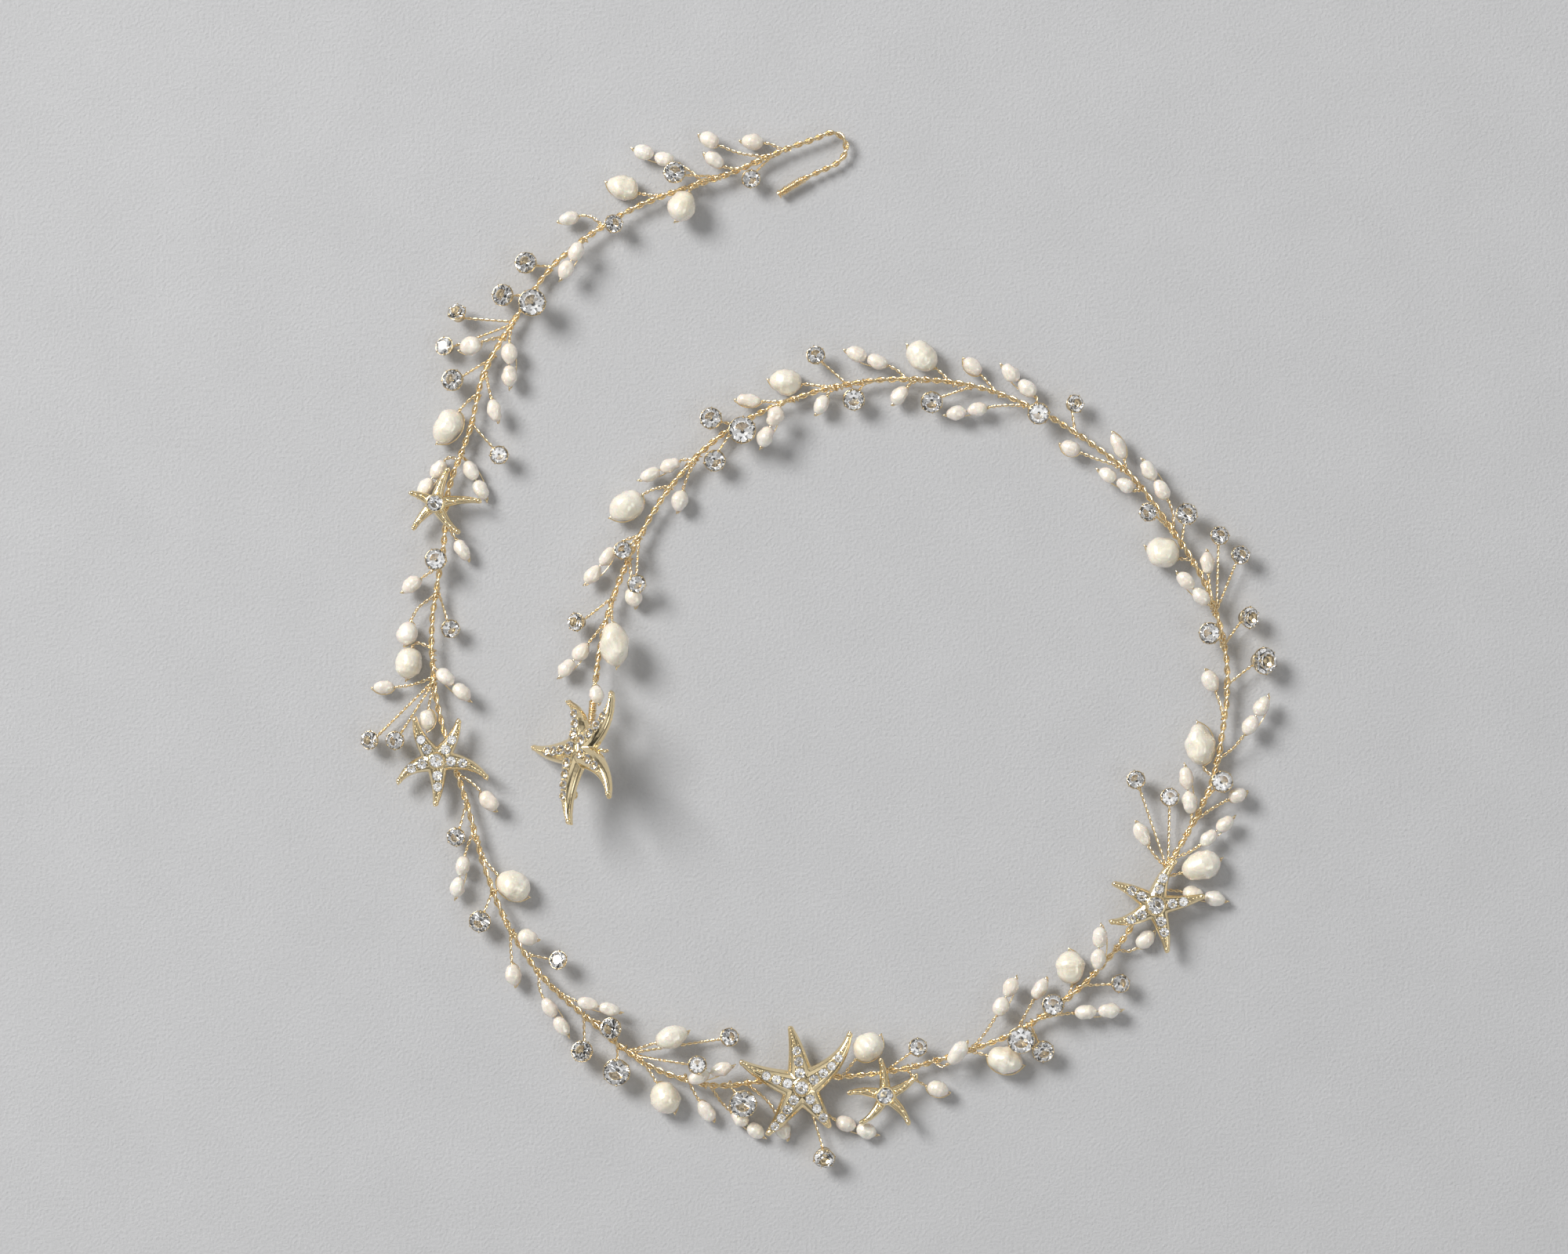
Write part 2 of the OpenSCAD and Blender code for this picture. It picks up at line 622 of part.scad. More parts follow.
// Middle of a starfish: a low boss round the middle stone, or a cup on the small ones
module star_heart(row) {
    rise = row[SIZE] == SMALL ? stone_pavilion * row[HEART] : boss_rise;
    seat = row[HEART] + 2 * (stone_fit + cup_wall);
    block(0, seat, star_h[row[SIZE]] + rise, seat);
}

module starfish(i) {
    row = STARS[i];
    size = row[SIZE];
    seat = row[HEART] + 2 * stone_fit;
    color("gold") lean(row) difference() {
        union() {
            star_heart(row);
            for (arm = ARMS[i]) arm_body(arm, size);
        }
        block(heart_floor(row), seat, heart_floor(row) + row[HEART], seat);
        for (arm = ARMS[i]) if (arm[STONES] > 0) arm_channel(arm, size, row[HEART]);
    }
}

module starfish_stones(i) {
    row = STARS[i];
    size = row[SIZE];
    color("whitesmoke") lean(row) {
        translate([0, 0, heart_floor(row) + stone_fit + stone_pavilion * row[HEART]]) stone(row[HEART]);
        for (arm = ARMS[i], k = [0:1:arm[STONES] - 1]) {
            s = stone_share(arm, size, row[HEART], k);
            seat = channel_floor(size, s) + stone_fit + stone_pavilion * arm_stone(k);
            translate(arm_place(arm, size, s) + [0, 0, seat]) stone(arm_stone(k));
        }
    }
}

wire();
rice_pearls();
rice_pearl_pairs();
for (i = [1:len(LARGE)]) {
    large_pearl(LARGE[i - 1]);
}
small_stones();
medium_stones();
for (i = [1:len(LARGE_CUPS)]) {
    large_stone(LARGE_CUPS[i - 1]);
}
for (i = [1:len(STARS)]) {
    starfish(i - 1);
    starfish_stones(i - 1);
}
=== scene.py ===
# %% [markdown]
# # A hair vine of gilt wire, pearls, cut stones and starfish
# The vine is one long twisted wire, laid in an open coil on pale paper. Short side wires
# carry freshwater pearls and cut stones in cups, and six cast starfish are tied to it.
# The measured solids come first, and every piece below is made around them.

# %% Load the measured solids
import math
import random

import bmesh
import bpy
from mathutils import Matrix, Vector, noise


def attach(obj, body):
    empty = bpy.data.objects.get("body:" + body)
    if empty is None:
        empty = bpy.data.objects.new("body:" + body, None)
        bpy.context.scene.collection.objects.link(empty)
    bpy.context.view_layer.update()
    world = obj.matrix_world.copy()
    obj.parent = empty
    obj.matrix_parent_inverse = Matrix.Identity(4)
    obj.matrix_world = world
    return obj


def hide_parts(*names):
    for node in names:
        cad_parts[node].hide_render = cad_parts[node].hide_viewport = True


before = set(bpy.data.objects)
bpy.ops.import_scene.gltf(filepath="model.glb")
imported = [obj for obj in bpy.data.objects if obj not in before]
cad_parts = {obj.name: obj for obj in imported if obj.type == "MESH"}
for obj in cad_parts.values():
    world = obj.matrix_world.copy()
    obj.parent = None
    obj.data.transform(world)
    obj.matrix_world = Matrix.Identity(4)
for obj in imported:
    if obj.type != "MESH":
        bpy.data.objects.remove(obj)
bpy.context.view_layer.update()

# %% [markdown]
# ## Sizes
# Jewellery is sized in millimetres and Blender works in metres, so one name turns one into
# the other. The layout grid has squares of 1.36 mm, and the tables that place each piece on
# it are the same as the model's own.

# %% Units and directions
MM = 0.001
GRID = 1.36 * MM
MIDDLE = (0.52, -0.45)
UP = Vector((0, 0, 1))

# %% Sizes of the pearls and cups
PEARL_GAP = 0.15 * MM
PEARL_BORE_D = 0.66 * MM
RICE_L, RICE_W = 4.7 * MM, 3.4 * MM
LARGE_L, LARGE_W = 7.8 * MM, 6.2 * MM
CUP_D = {"small": 4.1 * MM, "medium": 4.8 * MM, "large": 6 * MM}
CUP_WALL = 0.2 * MM
CUP_FOOT_H = 0.8 * MM
# Width of the foot as a share of the cup's
CUP_FOOT = 0.62
# Play between a stone and its seat
STONE_FIT = 0.1 * MM
print("a large pearl is", round(LARGE_L / MM, 1), "by", round(LARGE_W / MM, 1), "mm")

# %% [markdown]
# ## Layout
# Each row holds a place on the grid and a height in squares. A pearl's row goes on with the
# direction of its hole in degrees, its length and width as shares of the usual ones, and
# where its side wire leaves the main wire, counted in points of the main wire.

# %% Middle line of the main wire
HOOK = [
    (-5.9, 71.9, 1.4), (-3.8, 73.2, 1.5), (-1.6, 74.5, 1.6), (0.9, 75.7, 1.6),
    (2.9, 76.6, 1.6), (4.3, 77.7, 1.6), (4.9, 79.2, 1.7), (4.6, 80.6, 1.8),
    (3.6, 81.5, 1.9), (2.2, 81.7, 1.9), (-0.5, 80.6, 2),
]
STEM = [
    (-4.75, 79.1, 2.1), (-14.5, 74.9, 2.4), (-25.4, 71.25, 2.4), (-33.75, 66.9, 2.4),
    (-41.9, 60.4, 2.2), (-48.1, 51.6, 2.1), (-52.75, 43.5, 2.2), (-55, 34.5, 2.2),
    (-58.4, 24.9, 2.1), (-59.25, 15.5, 2.2), (-61, 4.25, 2.4), (-60.75, -6, 2.3),
    (-58.75, -15.1, 2.1), (-55.4, -25.5, 2.2), (-52.75, -35.1, 2.4), (-49.1, -44.25, 2.4),
    (-43.75, -52.4, 2.4), (-36.1, -59.5, 2.3), (-27, -66.6, 2.2), (-16.75, -70, 2.1),
    (-7.5, -69.25, 2.1), (3, -68.75, 2.1), (13, -67.6, 2.1), (22.5, -65.1, 2.2),
    (32.5, -61.25, 2.3), (40.6, -55.75, 2.3), (47, -49.4, 2.2), (51.9, -42.25, 2.1),
    (56.4, -34.6, 2.2), (60.5, -27.6, 2.3), (63.4, -20.75, 2.4), (65, -12.6, 2.4),
    (65.6, -4.75, 2.4), (64.5, 3, 2.3), (61.25, 11.5, 2.3), (56.25, 19.25, 2.4),
    (50.6, 26.75, 2.4), (43.9, 32.25, 2.4), (35.6, 37.4, 2.3), (26.75, 41, 2.3),
    (17.5, 42.4, 2.4), (8, 42.1, 2.4), (-1.25, 40.1, 2.4), (-10, 36.5, 2.3),
    (-17.25, 31.75, 2.3), (-23.75, 24.4, 2.4), (-28.5, 16.4, 2.4), (-31.9, 8.6, 2.3),
    (-34, 1.1, 2.8), (-35, -5.75, 4.4), (-35.6, -12.4, 6.3),
]
print(len(HOOK) + len(STEM), "points of the main wire")

# %% Pearls: place, height, direction, length, width, root of the side wire
RICE = [
    (-10, 80.3, 0.9, 175, 1.03, 1.05, 0.05), (-16.9, 80.6, 1.3, 150, 0.96, 1.05, 0.3),
    (-16.1, 77.4, 1.7, 145, 1, 0.95, 0.55), (-39.25, 68.1, 1.1, 195, 0.96, 0.9, 3),
    (-54.9, 47.75, 1.8, 200, 1.03, 1.2, 5.3), (-51.1, 37.5, 2.1, 285, 1.07, 0.9, 5.95),
    (-56.25, 15.25, 0.9, 300, 1.07, 0.9, 8.6), (-64.3, 9.7, 1.1, 215, 1.03, 1, 9.25),
    (-65, 2, 0.6, 255, 1.1, 1.3, 9.65), (-68.75, -6.6, 0.9, 180, 0.96, 0.85, 10.9),
    (-61.8, -11.8, 0.7, 265, 0.96, 1.05, 11.05), (-52, -24.7, 1.2, 310, 1.07, 1.1, 12.5),
    (-45.75, -46.4, 2.5, 350, 0.96, 1.1, 14.85), (-48.1, -52.4, 1.1, 277, 1, 1.05, 15.1),
    (-17.4, -74.1, 0.6, 305, 1.1, 1, 18.65), (-5.1, -77.2, 0.2, 290, 0.9, 1, 19.6),
    (19.5, -70.6, 0.7, 345, 1.03, 1.05, 22.15), (22.6, -64.75, 2.9, 50, 1.28, 1.05, 22.6),
    (35.75, -54.6, 1.3, 60, 1.07, 0.9, 23.95), (52.6, -46.8, 0.2, 45, 1.03, 1, 26.15),
    (52, -30, 1.2, 118, 1.18, 0.95, 27.9), (67.2, -23.8, 1.4, 25, 0.86, 1, 28.95),
    (62.4, 13.25, 1.3, 95, 1.03, 0.9, 33.4), (62.9, -5.6, 1, 115, 1.03, 1.1, 31.1),
    (40.6, 31.5, 1.1, 155, 0.93, 1, 36.35), (48.2, 31.8, 1.5, 115, 1.28, 0.85, 36.2),
    (13.4, 39.9, 1, 230, 1, 1, 40.05), (25, 44.5, 1.1, 135, 1, 1, 38.75),
    (0.9, 38.4, 1.3, 238, 0.96, 0.9, 41.5), (-10.6, 39.1, 1.5, 175, 1.15, 0.85, 42.3),
    (-21.6, 23.1, 0.9, 255, 1, 1.05, 44.25), (-29, 7.75, 0.7, 278, 0.93, 1.05, 46.3),
    (-34.75, -7.7, 5.8, 280, 0.86, 0.9, 48.9),
]
PAIRS = [
    (-25.7, 78.1, 0.9, 161, 0.96, 0.97, 1.3), (-38.9, 61.3, 3, 240, 0.94, 0.95, 3.4),
    (-48.75, 44.75, 1.3, 270, 1, 1.02, 5), (-61.1, 26.7, 0.2, 235, 0.98, 0.95, 7.5),
    (-54.1, 26.4, 0.3, 297, 0.98, 0.95, 7.45), (-57.6, -6.2, 1.9, 317, 1, 0.98, 10.7),
    (-56.6, -36.75, 1, 257, 0.96, 0.95, 13.4), (-41.4, -59.1, 1.1, 303, 1, 0.9, 15.95),
    (-34.5, -57.4, 2, 346, 1, 0.85, 16.2), (-16.75, -68, 2.9, 19, 1.05, 0.9, 18.65),
    (-10.75, -76.3, 0.1, 323, 0.9, 0.95, 19), (6.5, -76.7, 0.1, 341, 0.97, 1, 20.5),
    (30.3, -55.9, 1.4, 63, 0.95, 1, 23.25), (45.1, -48.1, 3.1, 86, 0.98, 0.98, 25.6),
    (44.9, -58.2, 1.2, 4, 1.05, 0.95, 24.3), (59.3, -23, 1.8, 98, 1.08, 0.95, 28.7),
    (63.9, -29.5, 1.5, 40, 0.96, 0.9, 28.1), (61.9, -39.9, 0.1, 348, 1, 1, 27.4),
    (60.1, 9.1, 3.1, 134, 0.98, 0.95, 33.4), (70.1, -11.1, 1.8, 59, 1, 0.98, 30.3),
    (47.9, 26.4, 1.7, 150, 0.9, 0.9, 35.75), (54.1, 26.4, 1.4, 123, 1.03, 0.98, 34.85),
    (8.2, 45.9, 1.4, 160, 1, 0.98, 40.3), (24.1, 37.4, 1.3, 190, 0.95, 0.9, 38.25),
    (32.4, 42.25, 1.4, 137, 1, 0.98, 38.1), (-7.2, 34.9, 3.2, 245, 1, 1.05, 42.25),
    (-24.75, 28, 1.3, 205, 0.98, 0.9, 44.3), (-34.3, 12.8, 1.2, 230, 1.03, 0.9, 45.85),
    (-38.5, -2.25, 1, 229, 0.98, 0.95, 47.55),
]
LARGE = [
    (-30.7, 73, 0, 160, 0.9, 0.86, 1.55), (-21.25, 70, 1.6, 245, 0.87, 0.98, 1.05),
    (-58.5, 34.9, 0, 235, 1.04, 0.98, 6.35), (-64.75, -2.75, 0, 260, 0.88, 0.98, 10.45),
    (-48.1, -38.2, 0, 325, 1, 1, 13.6), (-22.9, -62.25, 1.7, 20, 0.93, 0.86, 17.7),
    (-23.9, -72, 0, 300, 0.93, 1, 17.95), (8.4, -63.9, 0, 45, 0.9, 1, 21.15),
    (30.2, -66, 0, 345, 1, 0.98, 23.15), (40.6, -51.2, 0, 95, 0.93, 1, 24.8),
    (61.4, -35, 0, 20, 1.12, 1.03, 27.7), (55.3, 14.9, 0, 160, 0.94, 1.08, 34.3),
    (61.25, -15.7, 0, 98, 1.16, 1, 30), (16.95, 46.1, 0, 140, 0.95, 1, 39.55),
    (-4.75, 42.1, 0, 172, 0.9, 0.88, 41.45), (-30.1, 22.3, 0, 215, 1.04, 1, 44.85),
    (-32, 0.25, 2.8, 275, 1.22, 1.03, 47.15),
]
print(len(RICE) + 2 * len(PAIRS), "rice pearls and", len(LARGE), "large ones")

# %% Cups: place, height, direction and angle of the lean, root of the side wire
CUPS = {
    "small": [
        (-10.4, 74.6, 1.4, 300, 10, 0.2), (-32.4, 67, 2.5, 30, 12, 2.8),
        (-56.75, 52.25, 1.8, 110, 35, 5), (-58.5, 47.4, 1, 150, 25, 5.05),
        (-50.4, 30.5, 2, 300, 5, 6.9), (-58.3, 2.9, 1.4, 320, 10, 9.55),
        (-70.4, -15, 1.4, 180, 20, 10.95), (-66.7, -15, 1.6, 200, 8, 10.97),
        (-57, -30.25, 1.4, 220, 10, 12.95), (-40.45, -50.3, 1.8, 150, 20, 15.6),
        (-13.9, -62.5, 1, 40, 10, 17.75), (-18.75, -66.75, 5.5, 90, 6, 17.8),
        (16.2, -64.1, 1.8, 60, 8, 21.8), (48.3, -53.85, 1.6, 20, 10, 25.25),
        (51.2, -21.55, 1.8, 130, 10, 27.9), (56.4, -24.25, 1.6, 90, 5, 27.95),
        (64.2, 17.3, 2, 60, 10, 33.2), (67.4, 14.25, 1.8, 40, 12, 33.25),
        (40.7, 38.3, 1.8, 20, 25, 37.3), (53.3, 21.4, 2.6, 200, 12, 34.85),
        (0.1, 46, 1.8, 100, 10, 41.3), (-30.5, 15, 2.5, 120, 8, 45.75),
        (-28.6, 10, 3.4, 320, 8, 45.9), (-37.3, 3.8, 1.8, 180, 30, 47.1),
    ],
    "medium": [
        (-22.4, 75, 2.7, 90, 10, 1.05), (-45.9, 60.65, 1.6, 120, 12, 4),
        (-49.4, 55.7, 1.6, 160, 12, 4.5), (-57.5, 42.15, 1.6, 150, 10, 5.7),
        (-60.3, 13.6, 2.5, 120, 5, 9.1), (-53.25, -43.6, 1.6, 240, 10, 14.4),
        (-32.1, -60.9, 1.8, 180, 15, 16.95), (-36.8, -64.9, 1.4, 135, 15, 16.9),
        (1.4, -80.7, 1.6, 270, 30, 20.5), (36.1, -64.3, 1.4, 300, 10, 24.2),
        (37.8, -57.45, 2.3, 90, 8, 24.45), (64.6, -21.75, 2.5, 60, 5, 29.4),
        (68.2, 4.5, 1.8, 0, 30, 32.6), (63, 2, 2.5, 180, 8, 32.7),
        (58.9, 20.7, 2.2, 60, 10, 34.6), (18.5, 39.1, 1.8, 270, 10, 39.2),
        (35.6, 37.1, 2.5, 240, 5, 37.95), (6.1, 39.45, 1.6, 270, 8, 41),
        (-16.5, 36, 1.6, 120, 8, 43.3), (-16.2, 29.75, 1.6, 300, 10, 43.45),
    ],
    "large": [
        (-44.9, 54.4, 2.9, 120, 6, 4.6), (-31.5, -67.6, 1.4, 240, 8, 17.5),
        (-11.4, -72.6, 2.1, 250, 8, 19.3), (32.75, -62.5, 2.5, 260, 6, 24),
        (70.45, -2.4, 1.8, 0, 28, 31.8), (-11.6, 34.1, 2.5, 100, 6, 43.2),
    ],
}
print(sum(map(len, CUPS.values())), "cups")

# %% Starfish: place, height, direction and angle of the lean, size, width of the middle stone
STARS = [
    (-60.5, 22.7, 2.8, 0, 0, "small", 3.4 * MM),
    (-60.3, -18.3, 2.8, 0, 0, "medium", 2.9 * MM),
    (-2.2, -70.25, 2.8, 0, 0, "large", 2.9 * MM),
    (11.1, -71.6, 2.8, 0, 0, "small", 3.5 * MM),
    (54.1, -41.3, 2.8, 0, 0, "medium", 3.6 * MM),
    (-37.3, -16.75, 7.5, 162.6, 45, "large", 2.9 * MM),
]
# Direction at the root and at the tip, reach as a share, and number of stones of each arm
ARMS = [
    [(75, 69, 0.98, 0), (150, 158, 0.72, 0), (222, 230, 0.9, 0), (298, 310, 1, 0), (10, 2, 1.2, 0)],
    [(130, 116, 0.97, 2), (50, 62, 0.94, 2), (190, 211, 0.9, 2), (275, 268, 0.9, 2), (360, 340, 1.08, 2)],
    [(96, 101, 0.9, 3), (31, 49, 1.07, 4), (164, 157, 0.97, 3), (238, 234, 0.86, 4), (306, 305, 0.72, 3)],
    [(91, 98, 0.97, 0), (22, 34, 1, 0), (165, 177, 0.98, 0), (242, 227, 0.97, 0), (322, 309, 0.98, 0)],
    [(79, 65, 0.98, 2), (146, 153, 0.96, 2), (6, 11, 1, 2), (215, 199, 0.97, 2), (290, 284, 0.97, 2)],
    [(85, 113, 0.82, 3), (30, 56, 1.01, 4), (182, 172, 0.94, 3), (252, 268, 1.09, 4), (335, 313, 1.02, 3)],
]
print(len(STARS), "starfish with", sum(arm[3] for arms in ARMS for arm in arms), "stones on their arms")

# %% [markdown]
# ## Places from the tables
# A row of a table becomes a point in metres. The side wires leave the main wire between two
# of its points, so a place on the wire is a share of the way between them.

# %% Points and directions
def on_grid(row, above=0.0):
    x, y, height = row[:3]
    return GRID * Vector((x - MIDDLE[0], y - MIDDLE[1], height)) + above * UP


def on_stem(at):
    k = min(int(at), len(STEM) - 2)
    return on_grid(STEM[k]).lerp(on_grid(STEM[k + 1]), at - k)


def heading(degrees):
    turn = math.radians(degrees)
    return Vector((math.cos(turn), math.sin(turn), 0))


def lean(row):
    """The place and turn of a cup or a starfish that leans towards a direction."""
    turn = Matrix.Rotation(math.radians(row[3]), 4, "Z")
    tip = Matrix.Rotation(math.radians(row[4]), 4, "Y")
    return Matrix.Translation(on_grid(row)) @ turn @ tip @ turn.inverted()


print("the hook's tip lies at", [round(v / MM, 1) for v in on_grid(HOOK[0])], "mm")

# %% [markdown]
# ## Camera and lamps
# The picture is taken from straight above and with a long lens, so high pieces hardly
# shift outward. A large soft lamp stands far off at the upper left, as a window would, and
# gives soft shadows to the lower right. A weak one lifts those shadows from the other side.

# %% Camera
VIEW_W = 340 * MM
CAMERA_H = 2400 * MM
SENSOR = 36.0
camera = bpy.data.objects.new("camera", bpy.data.cameras.new("camera"))
camera.data.sensor_width = SENSOR
camera.data.lens = SENSOR * CAMERA_H / VIEW_W
camera.data.clip_start = 10 * MM
view_middle = on_grid((-5, 3, 0))
camera.location = view_middle + CAMERA_H * UP
bpy.context.scene.collection.objects.link(camera)
bpy.context.scene.camera = camera
bpy.context.scene.view_settings.view_transform = "Standard"
print("lens", round(camera.data.lens), "mm")

# %% Lamps
def lamp(name, place, size, watts, colour):
    data = bpy.data.lights.new(name, "AREA")
    data.shape, data.size, data.energy, data.color = "DISK", size, watts, colour
    item = bpy.data.objects.new(name, data)
    item.location = place
    item.rotation_euler = (view_middle - Vector(place)).to_track_quat("-Z", "Y").to_euler()
    bpy.context.scene.collection.objects.link(item)
    print(name, "lamp of", watts, "W,", size, "m wide")


lamp("window", (-1.75, 1.35, 2.0), 1.3, 80, (1.0, 1.0, 0.995))
lamp("fill", (2.2, -0.9, 2.6), 1.6, 8, (0.96, 0.98, 1.0))

# %% [markdown]
# ## Writing materials as sums
# A material is easier to read as arithmetic than as a web of nodes. The class below wraps a
# socket, so that an expression on sockets adds Math nodes, and one method makes any other
# node from its settings and its inputs.

# %% A small language for materials
class Wave:
    """A value that varies over a surface, which sums and products build on."""

    def __init__(self, tree, socket):
        self.tree, self.socket = tree, socket

    def node(self, kind, inputs=(), output=0, **settings):
        item = self.tree.nodes.new(kind)
        stops = settings.pop("stops", None)
        for key, value in settings.items():
            setattr(item, key, value)
        if stops:
            elements = item.color_ramp.elements
            elements.remove(elements[1])
            elements[0].position, elements[0].color = stops[0]
            for position, colour in stops[1:]:
                elements.new(position).color = colour
        for key, value in dict(inputs).items():
            if isinstance(value, Wave):
                self.tree.links.new(value.socket, item.inputs[key])
            else:
                item.inputs[key].default_value = value
        return Wave(self.tree, item.outputs[output])

    def math(self, operation, other, swap=False):
        first, second = (other, self) if swap else (self, other)
        return self.node("ShaderNodeMath", {0: first, 1: second}, operation=operation)

    def __add__(self, other): return self.math("ADD", other)
    def __radd__(self, other): return self.math("ADD", other, swap=True)
    def __sub__(self, other): return self.math("SUBTRACT", other)
    def __rsub__(self, other): return self.math("SUBTRACT", other, swap=True)
    def __mul__(self, other): return self.math("MULTIPLY", other)
    def __rmul__(self, other): return self.math("MULTIPLY", other, swap=True)

# %% [markdown]
# ## Sky
# Polished metal and cut stones look bright only beside something dark. A room has windows,
# walls and dark corners, and the sky stands for them with pale and dark rings. Its height
# runs from 0 at the horizon to 1 overhead, and each stop gives a height and a brightness.

# %% Rings of light and dark
SKY_STOPS = [
    (0.0, 0.5), (0.3, 0.55), (0.4, 0.04), (0.5, 0.2), (0.66, 0.75), (0.74, 0.75),
    (0.79, 0.03), (0.88, 0.03), (0.92, 0.5), (0.96, 0.25), (0.98, 0.8), (1.0, 0.85),
]
world = bpy.data.worlds.new("studio")
world.use_nodes = True
sky = Wave(world.node_tree, None)
outward = sky.node("ShaderNodeTexCoord", output="Generated")
height = outward.node("ShaderNodeSeparateXYZ", {0: outward}, output="Z")
rings = height.node(
    "ShaderNodeValToRGB", {"Fac": height}, stops=[(at, (v, v, v, 1)) for at, v in SKY_STOPS]
)
world.node_tree.links.new(rings.socket, world.node_tree.nodes["Background"].inputs["Color"])
bpy.context.scene.world = world
print("the sky has", len(SKY_STOPS), "stops")

# %% [markdown]
# ## From sums to a material
# The few patterns of this piece are soft noise, a blend of two colours by that noise, and a
# bump. A material has fixed values on its shader and links what varies over the surface.

# %% Starting a material, and its patterns
def new_material(name, constants):
    """A material with fixed values on its shader, its start of sums, and a way to link them."""
    material = bpy.data.materials.new(name)
    material.use_nodes = True
    tree = material.node_tree
    shader = tree.nodes["Principled BSDF"]
    for key, value in constants.items():
        shader.inputs[key].default_value = value
    start = Wave(tree, None).node("ShaderNodeTexCoord", output="Object")

    def link(key, value):
        tree.links.new(value.socket, shader.inputs[key])

    return material, start, link


def blotches(start, per_metre, detail=2.0, roughness=0.5):
    """Cloudy noise from 0 to 1."""
    return start.node(
        "ShaderNodeTexNoise",
        {"Vector": start, "Scale": per_metre, "Detail": detail, "Roughness": roughness},
    )


# The Mix node has sockets for each kind of value. These are its colour sockets.
COLOUR_A, COLOUR_B, COLOUR_OUT = 6, 7, 2


def blend(start, share, low, high):
    """A colour between two, by a share."""
    colours = {0: share, COLOUR_A: (*low, 1), COLOUR_B: (*high, 1)}
    return start.node("ShaderNodeMix", colours, output=COLOUR_OUT, data_type="RGBA")


def bump(start, height, distance, strength=1.0):
    """Raised and sunk places from a height of 0 to 1."""
    return start.node(
        "ShaderNodeBump", {"Height": height, "Distance": distance, "Strength": strength}
    )

# %% [markdown]
# ## Finishes
# Four finishes cover the vine. Gilt wire is bright yellow gold with a very fine grain. The
# castings are paler and smoother. Nacre is a cream skin that turns rose in patches, under a
# clear coat and a film so thin that it adds faint rainbow colours. The stones are clear,
# with a mirror foil on their backs, which is what makes a small stone sparkle.

# %% Gilt wire and pale cast gold
def gold(name, dark, light, polished, worn, grain, depth):
    """Metal with cloudy colour and a fine grain that changes its gloss and its surface."""
    material, start, link = new_material(name, {"Metallic": 1.0})
    link("Base Color", blend(start, blotches(start, 260.0, detail=3.0), dark, light))
    fine = blotches(start, grain, detail=4.0, roughness=0.6)
    link("Roughness", polished + (worn - polished) * fine)
    link("Normal", bump(start, fine, depth))
    print(name, "has a roughness of", polished, "to", worn)
    return material


gilt_wire = gold("gilt_wire", (0.93, 0.72, 0.41), (0.99, 0.83, 0.55), 0.1, 0.26, 2600.0, 0.01 * MM)
pale_gold = gold("pale_gold", (0.93, 0.74, 0.42), (1.0, 0.86, 0.58), 0.06, 0.2, 700.0, 0.02 * MM)

# %% Nacre
NACRE = {
    "IOR": 1.6, "Metallic": 0.15,
    "Subsurface Weight": 0.2, "Subsurface Scale": 0.5 * MM,
    "Coat Weight": 1.0, "Coat Roughness": 0.06, "Coat IOR": 1.7,
    "Thin Film Thickness": 380.0, "Thin Film IOR": 1.45,
}


def nacre(name, cream, rose, rim):
    """A cream skin with rose patches, where the middle of the noise is spread to its ends."""
    material, start, link = new_material(name, {**NACRE, "Coat Tint": (*rim, 1)})
    patches = 1.7 * blotches(start, 170.0) - 0.4
    link("Base Color", blend(start, patches, cream, rose))
    link("Roughness", 0.18 + 0.2 * blotches(start, 700.0, detail=3.0))
    link("Normal", bump(start, blotches(start, 420.0), 0.3 * MM, 0.55))
    return material


rice_nacre = nacre("rice_nacre", (0.98, 0.95, 0.90), (0.96, 0.85, 0.76), (1.0, 0.97, 0.92))
large_nacre = nacre("large_nacre", (0.98, 0.95, 0.89), (0.96, 0.87, 0.72), (1.0, 0.97, 0.91))
print("nacre's coat bends light by", NACRE["Coat IOR"])

# %% Clear stone and its mirror foil
CLEAR = {"Base Color": (1, 1, 1, 1), "Roughness": 0.0, "IOR": 1.58, "Transmission Weight": 1.0}
crystal = new_material("crystal", CLEAR)[0]
foil, start, link = new_material("foil", {"Metallic": 1.0, "Roughness": 0.03})
link("Base Color", blend(start, blotches(start, 200.0), (0.86, 0.86, 0.88), (0.95, 0.95, 0.96)))
print(len(bpy.data.materials), "materials")

# %% [markdown]
# ## Keeping a piece
# Every finished piece has its place in its mesh and its object at the origin. It rides on
# the one body of the model and hides the solid that it stands for. The wire's solid is
# stood for by several pieces.

# %% Turn a mesh into a piece, and a bmesh into a mesh
pieces = []


def keep(mesh, materials, node):
    """Makes a piece of the mesh's name, which stands for a solid."""
    item = bpy.data.objects.new(mesh.name, mesh)
    bpy.context.scene.collection.objects.link(item)
    mesh.materials.clear()
    for material in materials:
        mesh.materials.append(material)
    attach(item, "root")
    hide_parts(node)
    pieces.append(item)
    print(item.name, len(mesh.polygons), "faces")


def mesh_from(bm, name, shade_smooth=True):
    """A mesh of what a bmesh holds. The bmesh is freed."""
    mesh = bpy.data.meshes.new(name)
    for face in bm.faces:
        face.smooth = shade_smooth
    bm.to_mesh(mesh)
    bm.free()
    return mesh


def add_copy(bm, pattern, matrix):
    """Adds a moved copy of a finished mesh to a bmesh."""
    before = len(bm.verts)
    bm.from_mesh(pattern)
    bm.verts.ensure_lookup_table()
    bmesh.ops.transform(bm, matrix=matrix, verts=bm.verts[before:])

# %% [markdown]
# ## Turned shapes
# A pearl, a cup and a drilled seat are all round about one line, as if turned on a lathe. A
# spin carries a profile once round that line. Each point of the profile is a distance from
# the line and a height along it.

